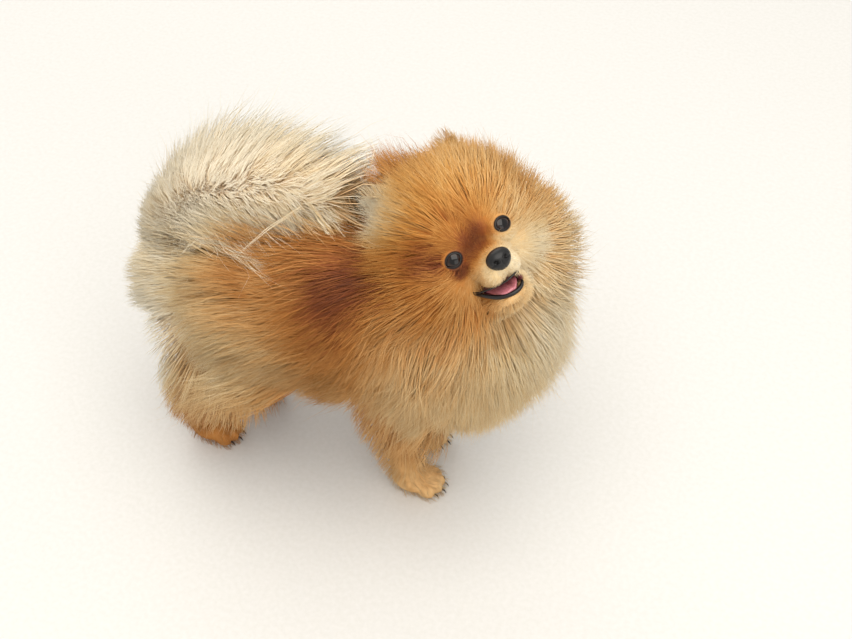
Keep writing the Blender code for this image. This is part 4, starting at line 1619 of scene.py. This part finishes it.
@dataclass(frozen=True)
class Wisp:
    """Tufts that leave the lie of the coat together, as a loose lock or as a crest.

    Attributes:
        path: Three points, from where it leaves the coat to its tips, in the dog's centimetres.
        tufts: How many tufts it holds.
        spread: How far they stray, in centimetres.
        hold: How much of the distance between their roots they keep, from 0 to 1.
        width: The tufts' width as a share of the others'.
    """

    path: tuple[Triple, Triple, Triple]
    tufts: int = 5
    spread: float = 0.05
    hold: float = 0.04
    width: float = 0.6


@dataclass(frozen=True)
class CoatPiece:
    """One joined mesh of tufts.

    Attributes:
        name: The piece's name.
        slot: The name of a material slot, not used.
        parts: The parts of the body that it covers.
        tufts: How many it has.
        segments: The segments of each tuft.
        side: 0 for both sides, or 1 or -1 for the dog's left or right alone.
        least_tone: The darkest tone that its markings take.
        wisps: Its loose locks.
    """

    name: str
    slot: str
    parts: tuple[Part, ...]
    tufts: int
    segments: int
    side: int = 0
    least_tone: float = 0.0
    wisps: tuple[Wisp, ...] = ()


# The bones of the skull and the jaw: each point and the skin's distance, in the head's centimetres.
HEAD_BONES = (
    ((-6.0, 0, -0.4, 3.4), (-3.6, 0, 0.2, 3.9), (-0.8, 0, -0.6, 3.0), (1.4, 0, -1.7, 1.2)),
    ((-2.6, 0, -3.4, 1.4), (0.9, 0, -4.2, 0.7)),
)

# The toes from the foot's place, and the skin's distance there, in centimetres.
TOES = (1.8, 0.9)
TOE_REACH = 1.0

# A way that no bone has, from which the angle round a bone is measured.
SEAM_WAY = (0.31, 0.2, 0.93)

# The way that the hair lies on the body, down the legs and over the toes: ahead, to the left, up.
BACKWARDS = (-1.0, 0.0, -0.35)
DOWN_THE_LEG = (-0.3, 0.0, -1.0)
OVER_THE_TOES = (0.7, 0.0, -0.8)

# How high the feet reach for the lie of the hair, and for its thickness, in centimetres.
FOOT_HEIGHT = 2.2
THICK_HEIGHT = 3.0

TAIL_WISPS = (
    Wisp(((-2.9, -0.4, 27.0), (-5.0, -2.4, 25.9), (-6.9, -5.1, 24.6))),
    Wisp(((0.6, 4.2, 27.4), (0.95, 4.7, 29.2), (0.2, 4.9, 31.4)), 4),
)
CREST = (Wisp(((4.4, 4.2, 23.2), (3.0, 5.4, 25.8), (1.0, 6.5, 28.0)), 620, 0.35, 1.0, 1.1),)
PIECES = (
    CoatPiece("coat_face", "coat_head", (Part.FACE, Part.EAR), 19400, 2),
    CoatPiece("coat_crown", "coat_head", (Part.CROWN,), 11600, 3),
    CoatPiece("coat_ruff_left", "coat_ruff", (Part.RUFF,), 11600, 3, 1, 0.0, CREST),
    CoatPiece("coat_ruff_right", "coat_ruff", (Part.RUFF,), 11800, 3, -1),
    CoatPiece("coat_side_left", "coat_body", (Part.TORSO,), 11400, 3, 1),
    CoatPiece("coat_side_right", "coat_body", (Part.TORSO,), 11800, 3, -1),
    CoatPiece("coat_tail", "coat_tail", (Part.TAIL,), 11800, 3, 0, 0.93, TAIL_WISPS),
    CoatPiece("coat_legs", "coat_leg", (Part.FORELEG, Part.HINDLEG), 11600, 3),
)


@dataclass
class Coat:
    """The dog's coat of separate tufts, grown on the skin out to the surface of the tips.

    Attributes:
        skin: The skin's shape.
        markings: The coat's markings.
        room: The low and the high corner of the box that holds the coat, in metres.
        seed: Of every random draw.
        hull_voxel: The grain of the tips' surface, in metres.
        patch: The size of a tuft's patch on the map OFBake.
        face_edge: Where the short hair of the face ends, in the head's centimetres.
        softness: How far the shading follows the whole coat and not each tuft.
        strays: The share of tufts that are thin, longer and stray.
        candidates: How many roots are spread over the skin for the pieces to choose from.
        bald: How bare the skin may be where a tuft grows.
        clumps: How far apart clumps are, in metres, and how close their tips come, coarse and fine.
        tone_at: Where along a tuft its markings are looked up, from 0 to 1.
        deep: The length from which a tuft's root is in full shade, in metres.
        face_centre: The middle of the face, that its hair points away from, in the head's centimetres.
        withers: The place in front of the withers where the hair stands up, in centimetres.
        withers_width: How far round it the hair does so.
        muzzle_hair: The length of the hair round the nose, in centimetres.
        face_steps: The steps by which the face's hair gets longer than that: by how much, from where
            and to where, measured from the end of the muzzle.
        ear_hair: The length of the ears' hair, in metres.
        plume: The longest hair of the tail, above and below, in centimetres.
    """

    skin: Shape
    markings: Markings
    room: tuple[Array, Array]
    seed: int = 7
    hull_voxel: float = 3.5 * MM
    patch: float = 0.003
    face_edge: float = -1.9
    softness: float = 0.86
    strays: float = 0.12
    candidates: int = 420000
    bald: float = 0.4
    clumps: tuple[tuple[float, float], ...] = ((11 * MM, 0.7), (4 * MM, 0.9))
    tone_at: float = 0.7
    deep: float = 2.5 * CM
    face_centre: Triple = (2.3, 0, -1.2)
    withers: Triple = (3.0, 3.0, 20.0)
    withers_width: float = 3.5
    muzzle_hair: float = 0.32
    face_steps: tuple[Triple, ...] = ((0.4, 1.2, 3.2), (0.4, 3.2, 4.4))
    ear_hair: float = 1.5 * CM
    plume: tuple[float, float] = (11.0, 3.6)

    def __post_init__(self) -> None:
        """Builds the bones, the tips' surface and the skin's normals."""
        self.bones = self.make_bones()
        self.hull = self.make_hull().tree()
        self.normals = self.skin.vertex_normals()
        self.finish = CoatFinish().material("brushed_guard_hair")

    @staticmethod
    def make_bones() -> list[Bone]:
        """The bones, from the stations of the skin."""
        made = []
        for part, rows in ((Part.TORSO, FORMS.torso), (Part.RUFF, FORMS.neck), (Part.RUFF, FORMS.chest)):
            line, radii = Limb(rows).line(2)
            made.append(Bone(part, line, radii.mean(1)))
        line, radii = Limb(FORMS.tail).line(2)
        made.append(Bone(Part.TAIL, line, radii.mean(1)))
        for name, (skin, _) in FORMS.legs().items():
            line, radii = skin.line(2)
            part = Part.FORELEG if name.startswith("fore") else Part.HINDLEG
            toes = DOG.on_body((FEET[name][0] + TOES[0], FEET[name][1], TOES[1]))
            line = np.concatenate([line, toes[None]])
            made.append(Bone(part, line, np.append(radii.mean(1), TOE_REACH * CM)))
        for rows in HEAD_BONES:
            points = np.array(rows)
            made.append(Bone(Part.FACE, DOG.on_head(points[:, :3]), points[:, 3] * CM))
        for side in SIDES:
            base, tip, _ = EAR.axes(side)
            made.append(Bone(Part.EAR, np.stack((mixed(base, tip, 0.3), tip)), np.array((1.0, 0.4)) * CM))
        return made

    def make_hull(self) -> Shape:
        """The surface that the coat's tips reach, as one shape."""
        rows = (FORMS.torso_tips, FORMS.neck_tips, FORMS.chest_tips, FORMS.tail_tips)
        shapes = [Limb(r).shape() for r in rows]
        for _, tips in FORMS.legs().values():
            shapes.append(tips.shape())
        for lump in (FORMS.skull_tips, FORMS.mane, FORMS.withers):
            shapes += lump.shapes()
        hull = Shape.joined(shapes).object("tips")
        Skin.fuse(hull, self.hull_voxel)
        made = Shape.of(hull)
        discard(hull)
        return made

    def sort_points(self, points: Array) -> tuple[Array, Array, Array, Array, Array]:
        """The part, bone, place along it, angle round it and way of each point."""
        best = np.full(len(points), np.inf)
        part = np.zeros(len(points), int)
        bone_of = np.zeros(len(points), int)
        along = np.zeros(len(points))
        around = np.zeros(len(points))
        way = np.zeros((len(points), 3))
        for index, bone in enumerate(self.bones):
            gap, share, course = bone.nearest(points)
            closer = gap < best
            best = np.where(closer, gap, best)
            part[closer] = bone.part.value
            bone_of[closer] = index
            along = np.where(closer, share, along)
            way[closer] = course[closer]
            middle = bone.line[0] + (bone.line[-1] - bone.line[0]) * share[:, None]
            off = points - middle
            first = unit(np.cross(course, SEAM_WAY))
            second = np.cross(course, first)
            turn = np.arctan2((off * second).sum(1), (off * first).sum(1)) / (2 * math.pi) + 0.5
            around = np.where(closer, turn, around)
        behind = DOG.to_head(points)[:, 0] < self.face_edge
        part[(part == Part.FACE.value) & behind] = Part.CROWN.value
        return part, bone_of, along, around, way

    def sow(self, count: int, rng: np.random.Generator) -> Roots:
        """Spreads roots evenly over the whole skin.

        Args:
            count: How many.
            rng: The random numbers.

        Returns:
            The roots.
        """
        corners = self.skin.points[self.skin.faces]
        area = np.linalg.norm(np.cross(corners[:, 1] - corners[:, 0], corners[:, 2] - corners[:, 0]), axis=1)
        picked = rng.choice(len(area), count, p=area / area.sum())
        a, b = rng.random((2, count))
        flip = a + b > 1
        a, b = np.where(flip, 1 - a, a), np.where(flip, 1 - b, b)
        weights = np.stack((1 - a - b, a, b), 1)[:, :, None]
        place = (corners[picked] * weights).sum(1)
        normal = unit((self.normals[self.skin.faces[picked]] * weights).sum(1))
        part, bone, along, around, way = self.sort_points(place)
        roots = Roots(place, normal, part, along, around, way, bone)
        return roots.only(bare_skin(place) < self.bald)

    def lie(self, roots: Roots) -> Array:
        """The way that the hair lies at each root, along the skin.

        Args:
            roots: The roots.

        Returns:
            A vector for each.
        """
        way = np.tile(BACKWARDS, (len(roots.place), 1))
        ruff = roots.are(Part.RUFF)
        way[ruff] = unit(roots.place[ruff] - DOG.on_head((-3.5, 0, -0.5))) + 0.35 * DOWN
        tail = roots.are(Part.TAIL)
        way[tail] = roots.way[tail] * 0.8 + 0.1 * DOWN
        face = roots.are(Part.FACE, Part.CROWN)
        way[face] = unit(roots.place[face] - DOG.on_head(self.face_centre)) - 0.25 * DOG.head[:, 0]
        legs = roots.are(Part.FORELEG, Part.HINDLEG)
        way[legs] = DOWN_THE_LEG
        way[legs & (DOG.to_body(roots.place)[:, 2] < FOOT_HEIGHT)] = OVER_THE_TOES
        ear = roots.are(Part.EAR)
        way[ear] = roots.way[ear]
        return unit(way - roots.normal * (way * roots.normal).sum(1, keepdims=True))

    def lengths(self, roots: Roots, way: Array) -> Array:
        """Each tuft's length in metres, out to the tips' surface or as short as the face's hair."""
        out = np.empty(len(roots.place))
        for i, (start, course) in enumerate(zip(roots.place, way)):
            _, outwards, _, distance = self.hull.ray_cast(Vector(start), Vector(course))
            outside = distance is None or outwards.dot(Vector(course)) < 0
            out[i] = 0.0 if outside else distance
        shortest, longest = roots.growth("shortest") * CM, roots.growth("longest") * CM
        length = np.clip(out * roots.growth("reach"), shortest, longest)
        # The hair is short round the muzzle, and grows longer step by step to the cheeks.
        head = roots.are(Part.FACE, Part.CROWN, Part.RUFF)
        from_nose = (DOG.to_head(roots.place[head]) - MUZZLE_END) * (1, 1, 1.3)
        from_nose = np.linalg.norm(from_nose, axis=1)
        short = self.muzzle_hair
        for more, start, end in self.face_steps:
            short = short + more * smooth_step(from_nose, start, end)
        full = smooth_step(from_nose, 3.5, 6.4)
        length[head] = mixed(short * CM, np.maximum(length[head], short * CM), full)
        # The plume's under side is short, and hangs just clear of the back.
        tail = roots.are(Part.TAIL)
        under = mixed(*self.plume, smooth_step(-way[tail][:, 2], 0.0, 0.5)) * CM
        length[tail] = np.minimum(length[tail], under)
        length[roots.are(Part.EAR)] = self.ear_hair
        return length

    def curves(self, roots: Roots, segments: int, rng: np.random.Generator) -> tuple[Array, Array, Array]:
        """The middle line of each tuft.

        Args:
            roots: The roots.
            segments: How many segments a tuft has.
            rng: The random numbers.

        Returns:
            The points of each tuft from root to tip, each tuft's length, and its thickness as a share.
        """
        lean = np.radians(roots.growth("lean"))[:, None]
        rise, curl, droop = (roots.growth(name)[:, None] for name in ("rise", "curl", "droop"))
        along_skin = self.lie(roots)
        normal = roots.normal
        # The hair of the withers stands up, as the turned neck pushes it together.
        from_withers = np.linalg.norm(DOG.to_body(roots.place) - self.withers, axis=1)
        lean = lean * (1 - 0.6 * np.exp(-((from_withers / self.withers_width) ** 2)))[:, None]
        course = unit(normal * np.cos(lean) + along_skin * np.sin(lean))
        stray = np.where(rng.random(len(roots.place)) < self.strays, 1.0, 0.0)
        length = self.lengths(roots, course) * (rng.uniform(0.78, 1.03, len(roots.place)) + 0.1 * stray)
        curl = curl * (1 + 1.2 * stray)[:, None]
        start = unit(normal * np.cos(lean * rise) + along_skin * np.sin(lean * rise))
        sideways = unit(np.cross(normal, along_skin))
        tip = roots.place + course * length[:, None]
        tip += sideways * (rng.normal(0, 1, (len(length), 1)) * curl * length[:, None])
        tip += unit(rng.normal(0, 1, tip.shape)) * curl * 0.6 * length[:, None]
        tip += DOWN * droop * length[:, None]
        bend = roots.place + start * length[:, None] * 0.55
        bend += sideways * (rng.normal(0, 0.7, (len(length), 1)) * curl * length[:, None])
        t = np.linspace(0, 1, segments + 1)[None, :, None]
        root = (roots.place - normal * 0.6 * MM)[:, None]
        lines = root * (1 - t) ** 2 + 2 * bend[:, None] * t * (1 - t) + tip[:, None] * t**2
        return lines, length, 1 - 0.5 * stray

    @staticmethod
    def clump(
        lines: Array, roots: Roots, size: float, strength: float, rng: np.random.Generator
    ) -> Array:
        """Draws tufts together towards their tips.

        Args:
            lines: The tufts' middle lines.
            roots: Their roots.
            size: How far apart the clumps are, in metres.
            strength: How close the tips come, from 0 to 1.
            rng: The random numbers.

        Returns:
            The lines, drawn together.
        """
        order = rng.permutation(len(lines))
        tree = KDTree(len(lines))
        taken = np.zeros(len(lines), bool)
        for index in order:
            tree.insert(Vector(roots.place[index]), int(index))
        tree.balance()
        leader_of = np.zeros(len(lines), int)
        for index in order:
            if taken[index]:
                continue
            for _, other, _ in tree.find_range(Vector(roots.place[index]), size):
                if not taken[other]:
                    taken[other] = True
                    leader_of[other] = index
        share = np.linspace(0, 1, lines.shape[1])[None, :, None] ** 1.4
        own = roots.growth("clump")[:, None, None]
        pull = strength * own * rng.uniform(0.6, 1.3, (len(lines), 1, 1))
        return lines + (lines[leader_of] - lines) * np.clip(share * pull, 0, 0.95)

    def keep_inside(self, lines: Array, rng: np.random.Generator) -> Array:
        """Shortens the tufts that would leave the coat's box, each a little differently."""
        low, high = self.room
        step = lines[:, 1:] - lines[:, :1]
        room = np.where(step > 0, high - lines[:, :1], lines[:, :1] - low)
        share = (room / np.maximum(np.abs(step), 1e-6)).min((1, 2))
        share = np.minimum(share * rng.uniform(0.88, 1.0, len(lines)), 1)
        return lines[:, :1] + (lines - lines[:, :1]) * share[:, None, None]

    @staticmethod
    def lay(wisp: Wisp, lines: Array, thin: Array, roots: Roots, rng: np.random.Generator) -> None:
        """Lays the tufts that root nearest to a wisp along its path.

        Args:
            wisp: The loose lock.
            lines: The tufts' middle lines, changed here.
            thin: Each tuft's thickness as a share, changed here.
            roots: Their roots.
            rng: The random numbers.
        """
        path = DOG.on_body(wisp.path)
        near = np.argsort(np.linalg.norm(roots.place - path[0], axis=1))[: wisp.tufts]
        middle = roots.place[near].mean(0)
        own = (roots.place[near] - middle) * wisp.hold
        reach = rng.uniform(0.8, 1.04, (len(near), 1, 1))
        apart = rng.normal(0, wisp.spread * CM, (len(near), len(path), 3))
        lines[near, 1:] = middle + own[:, None] + (path - middle) * reach + apart
        thin[near] = wisp.width

    def tufts(self, lines: Array, normal: Array, width: Array) -> Shape:
        """Closed three-sided tufts that swell from the root and taper to a point.

        Args:
            lines: Their middle lines.
            normal: The skin's normal at each root.
            width: Their half width, in metres.

        Returns:
            All of them as one shape.
        """
        count, rings = lines.shape[0], lines.shape[1] - 1
        along = unit(np.gradient(lines, axis=1))
        side = unit(np.cross(along, normal[:, None]))
        back = np.cross(side, along)
        share = np.linspace(0, 1, rings + 1)[:-1]
        taper = (0.8 + 0.4 * share) * (1 - share**1.8)
        angle = np.array((0.5, 7 / 6, 11 / 6)) * math.pi
        offset = np.cos(angle)[:, None] * side[:, :-1, None]
        offset = offset + 0.7 * np.sin(angle)[:, None] * back[:, :-1, None]
        body = lines[:, :-1, None] + offset * (width[:, None] * taper)[:, :, None, None]
        points = np.concatenate([body.reshape(count, rings * 3, 3), lines[:, -1:]], axis=1)
        pattern = [(0, 2, 1)]
        for ring in range(rings - 1):
            low, high = ring * 3, ring * 3 + 3
            for k in range(3):
                n = (k + 1) % 3
                pattern += [(low + k, low + n, high + n), (low + k, high + n, high + k)]
        last = (rings - 1) * 3
        pattern += [(last + k, last + (k + 1) % 3, rings * 3) for k in range(3)]
        faces = np.array(pattern)[None] + (np.arange(count) * (rings * 3 + 1))[:, None, None]
        return Shape(points.reshape(-1, 3), faces.reshape(-1, 3)).facing_out()

    def soften(self, mesh: bpy.types.Mesh, shape: Shape, lines: Array) -> None:
        """Turns the shading normals part of the way to the whole coat's, as light spreads among hairs.

        Args:
            mesh: The tufts' mesh.
            shape: The same as arrays.
            lines: The tufts' middle lines.
        """
        per = len(shape.points) // len(lines)
        own = shape.vertex_normals()
        whole = np.array([self.hull.find_nearest(Vector(tip))[1] or (0, 0, 1) for tip in lines[:, -1]])
        blended = unit(own * (1 - self.softness) + np.repeat(whole, per, axis=0) * self.softness)
        mesh.normals_split_custom_set_from_vertices(blended.tolist())

    def map_tufts(self, mesh: bpy.types.Mesh, shape: Shape, roots: Roots, rings: int) -> None:
        """Writes the map OFBake: each tuft a small patch at its root's place on the unwrapped skin.

        The skin is unwrapped round its bones, a strip for each bone.

        Args:
            mesh: The tufts' mesh.
            shape: The same as arrays.
            roots: Their roots.
            rings: The rings of points of each tuft.
        """
        bones = np.unique(roots.bone)
        strip = np.searchsorted(bones, roots.bone)
        place = np.stack(((strip + 0.04 + 0.92 * roots.around) / len(bones), roots.along), 1)
        low, high = place.min(0), place.max(0)
        place = 0.01 + 0.98 * (place - low) / (high - low)
        per = rings * 3 + 1
        up = np.append(np.repeat(np.linspace(0, 0.8, rings), 3), 1.0) - 0.5
        across = np.append(np.tile((-0.5, 0.0, 0.5), rings), 0.0)
        inside = np.stack((across, up), 1) * self.patch
        spots = (place[:, None] + inside[None]).reshape(len(roots.place) * per, 2)
        layer = mesh.uv_layers.new(name="OFBake", do_init=False)
        corners = np.clip(spots, 0, 1)[shape.faces.ravel()]
        layer.uv.foreach_set("vector", corners.astype(np.float32).ravel())

    def grow(self, piece: CoatPiece, pool: Roots) -> bpy.types.Object:
        """Grows one piece of the coat.

        Args:
            piece: What it covers and how fine it is.
            pool: Roots to choose from, spread over the whole skin.

        Returns:
            The piece.
        """
        rng = np.random.default_rng([self.seed, PIECES.index(piece)])
        here = pool.are(*piece.parts)
        if piece.side:
            here &= DOG.to_body(pool.place)[:, 1] * piece.side > 0
        chosen = np.flatnonzero(here)
        weight = self.density(pool, chosen)
        chosen = rng.choice(chosen, min(piece.tufts, len(chosen)), replace=False, p=weight / weight.sum())
        roots = pool.only(chosen)
        lines, length, thin = self.curves(roots, piece.segments, rng)
        for size, strength in self.clumps:
            lines = self.clump(lines, roots, size, strength, rng)
        for wisp in piece.wisps:
            self.lay(wisp, lines, thin, roots, rng)
        lines = self.keep_inside(lines, rng)
        width = roots.growth("width") * MM / 2
        width = width * thin * rng.uniform(0.7, 1.25, len(width)) * np.clip(length / (1.2 * CM), 0.45, 1.5)
        shape = self.tufts(lines, roots.normal, width)
        shape.points[:, 2] = np.maximum(shape.points[:, 2], 0.3 * MM)
        made = shape.object(piece.name)
        self.soften(made.data, shape, lines)
        tone, gold = self.markings.at(mixed(lines[:, 0], lines[:, -1], self.tone_at))
        tone = np.maximum(tone, piece.least_tone)
        per = piece.segments * 3 + 1
        grain = rng.random(len(roots.place))
        set_attribute(made.data, "tone", np.repeat(tone, per))
        set_attribute(made.data, "gold", np.repeat(gold, per))
        set_attribute(made.data, "grain", np.repeat(grain, per))
        ring = np.append(np.repeat(np.linspace(0, 1, piece.segments + 1)[:-1], 3), 1.0)
        depth = np.clip(length / self.deep, 0, 1)
        along = 1 - (1 - ring[None]) * depth[:, None]
        set_attribute(made.data, "along", along)
        self.map_tufts(made.data, shape, roots, piece.segments)
        made.data.materials.append(self.finish)
        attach(made, BODY)
        log.info("%s: %d tufts, %d triangles", piece.name, len(roots.place), len(shape.faces))
        return made

    @staticmethod
    def density(pool: Roots, chosen: Array) -> Array:
        """How thickly the tufts stand at the chosen roots."""
        roots = pool.only(chosen)
        weight = np.ones(len(chosen))
        face, crown = roots.are(Part.FACE), roots.are(Part.CROWN)
        on_head, on_body = DOG.to_head(roots.place), DOG.to_body(roots.place)
        from_nose = np.linalg.norm(on_head[face] - MUZZLE_END, axis=1)
        weight[face] = 1 + 3.0 * (1 - smooth_step(from_nose, 1.0, 3.5))
        weight[crown] = 1 + 1.6 * smooth_step(on_head[crown, 0], -6.5, -2.5)
        weight[on_body[:, 2] < THICK_HEIGHT] = 1.8
        return weight

    def build(self) -> list[bpy.types.Object]:
        """All the coat's pieces."""
        pool = self.sow(self.candidates, np.random.default_rng(self.seed))
        return [self.grow(piece, pool) for piece in PIECES]


# The studio


@dataclass(frozen=True)
class Lamp:
    """One soft square light.

    Attributes:
        name: Its name.
        place: Where it hangs, in metres in the model.
        size: Its side, in metres.
        power: In watts.
        colour: Its hex colour.
        aim: What it points at.
    """

    name: str
    place: Triple
    size: float
    power: float
    colour: str
    aim: Triple = (0, 0, 0.15)

    def hang(self) -> None:
        """Adds the light to the scene."""
        data = bpy.data.lights.new(self.name, "AREA")
        data.size = self.size
        data.energy = self.power
        data.color = linear(self.colour)[:3]
        lamp = bpy.data.objects.new(self.name, data)
        lamp.location = self.place
        lamp.rotation_euler = (Vector(self.aim) - Vector(self.place)).to_track_quat("-Z", "Y").to_euler()
        bpy.context.scene.collection.objects.link(lamp)


@dataclass(frozen=True)
class Studio:
    """A pale floor, soft light and the camera at the photograph's view.

    Attributes:
        eye: The camera's place, in the dog's centimetres.
        azimuth: Where it stands round the dog, in degrees.
        elevation: How far it looks down, in degrees.
        lens: In millimetres, on a sensor 36 wide.
        clip: The nearest and the farthest that it sees, in metres.
        floor: The floor's hex colour.
        floor_light: Its colour on the paler fibres.
        floor_width: Its side, in metres.
        fibre: The spacing of the paper's fibres, in millimetres.
        lamps: An overcast sky, one broad light overhead and two weak ones low down.
        surround: The colour of the rest of the sky.
        surround_strength: How bright it is.
    """

    eye: Triple = (26.79, -63.35, 92.02)
    azimuth: float = 18.0
    elevation: float = 48.0
    lens: float = 57.04
    clip: tuple[float, float] = (0.02, 50.0)
    floor: str = "#d9d8d4"
    floor_light: str = "#dedddA"
    floor_width: float = 12.0
    fibre: float = 4.0
    lamps: tuple[Lamp, ...] = (
        Lamp("sky", (0.3, -0.5, 2.2), 2.2, 42, "#fffaf2"),
        Lamp("left_fill", (1.6, -1.6, 0.9), 1.6, 10, "#fbf8f2"),
        Lamp("back_fill", (-1.4, 1.6, 1.3), 1.6, 12, "#fbf8f2"),
    )
    surround: str = "#f3f1ee"
    surround_strength: float = 0.85

    def camera(self) -> None:
        """The camera."""
        turn, down = math.radians(self.azimuth), math.radians(self.elevation)
        back = np.array((math.sin(turn) * math.cos(down), -math.cos(turn) * math.cos(down), math.sin(down)))
        right = np.array((math.cos(turn), math.sin(turn), 0.0))
        data = bpy.data.cameras.new("camera")
        data.lens = self.lens
        data.sensor_width = 36.0
        data.clip_start, data.clip_end = self.clip
        camera = bpy.data.objects.new("camera", data)
        axes = np.stack((right, np.cross(back, right), back), axis=1)
        place = Matrix.Translation(Vector(DOG.on_body(self.eye)))
        camera.matrix_world = place @ Matrix(axes.tolist()).to_4x4()
        bpy.context.scene.collection.objects.link(camera)
        bpy.context.scene.camera = camera

    def floor_sheet(self) -> None:
        """A wide matt floor, marked as the stage."""
        half = self.floor_width / 2
        points = np.array([(x * half, y * half, 0.0) for x, y in ((-1, -1), (1, -1), (1, 1), (-1, 1))])
        floor = Shape(points, np.array(((0, 1, 2), (0, 2, 3)))).object("floor", smooth=False)
        made, shader = new_material("matt_studio_paper", self.floor)
        tree = made.node_tree
        fibres = noise(tree, self.fibre * MM, Detail=2.0)
        colour = ramp(tree, fibres, ((0.3, self.floor), (0.7, self.floor_light)))
        tree.links.new(colour, shader.inputs["Base Color"])
        set_inputs(shader, {"Roughness": 0.9})
        floor.data.materials.append(made)
        floor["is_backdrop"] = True

    def lights(self) -> None:
        """The lamps and the surround."""
        for lamp in self.lamps:
            lamp.hang()
        world = bpy.data.worlds.new("surround")
        bpy.context.scene.world = world
        world.use_nodes = True
        set_inputs(
            world.node_tree.nodes["Background"],
            {"Color": linear(self.surround), "Strength": self.surround_strength},
        )
        bpy.context.scene.view_settings.view_transform = "Standard"

    def build(self) -> None:
        """The camera, the floor and the lights."""
        self.camera()
        self.floor_sheet()
        self.lights()


FLESH = (
    "head",
    "neck",
    "torso",
    "tail",
    "lower_jaw",
    "ear_left",
    "ear_right",
    "foreleg_left",
    "foreleg_right",
    "hindleg_left",
    "hindleg_right",
)


# How much larger than the solids' box the coat's is, as a share of a side and in metres.
MORE_ROOM = (0.03, 8 * MM)


def coat_room(low: Sequence[float], high: Sequence[float]) -> tuple[Array, Array]:
    """The box that the coat may fill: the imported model's own, a little larger."""
    low, high = np.array(low), np.array(high)
    more = (high - low) * MORE_ROOM[0] + MORE_ROOM[1]
    return low - more, high + more


def build_trim() -> None:
    """The lids and the claws."""
    lids = Shape.joined([Eye(side).lids() for side in SIDES]).object("lids")
    lids.data.materials.append(LID_SKIN.material())
    claws = Shape.joined([claw for leg in FEET for claw in Paw(leg).claws()]).object("claws")
    claws.data.materials.append(CLAW_HORN.material())
    for piece in (lids, claws):
        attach(piece, BODY)


def main() -> None:
    """Builds the dog and the studio, and logs the triangles of the skin and of each piece of the coat."""
    logging.basicConfig(level=logging.INFO, format="%(message)s")
    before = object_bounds()
    Studio().build()
    skin_maker = Skin()
    skin = skin_maker.build()
    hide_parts(*FLESH)
    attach(skin, BODY)
    shape = Shape.of(skin)
    log.info("skin: %d triangles", len(shape.faces))
    Coat(shape, skin_maker.markings, coat_room(*before)).build()
    for side in SIDES:
        Eye(side).build()
    Nose().build()
    Mouth().build()
    build_trim()


if __name__ == "__main__":
    main()
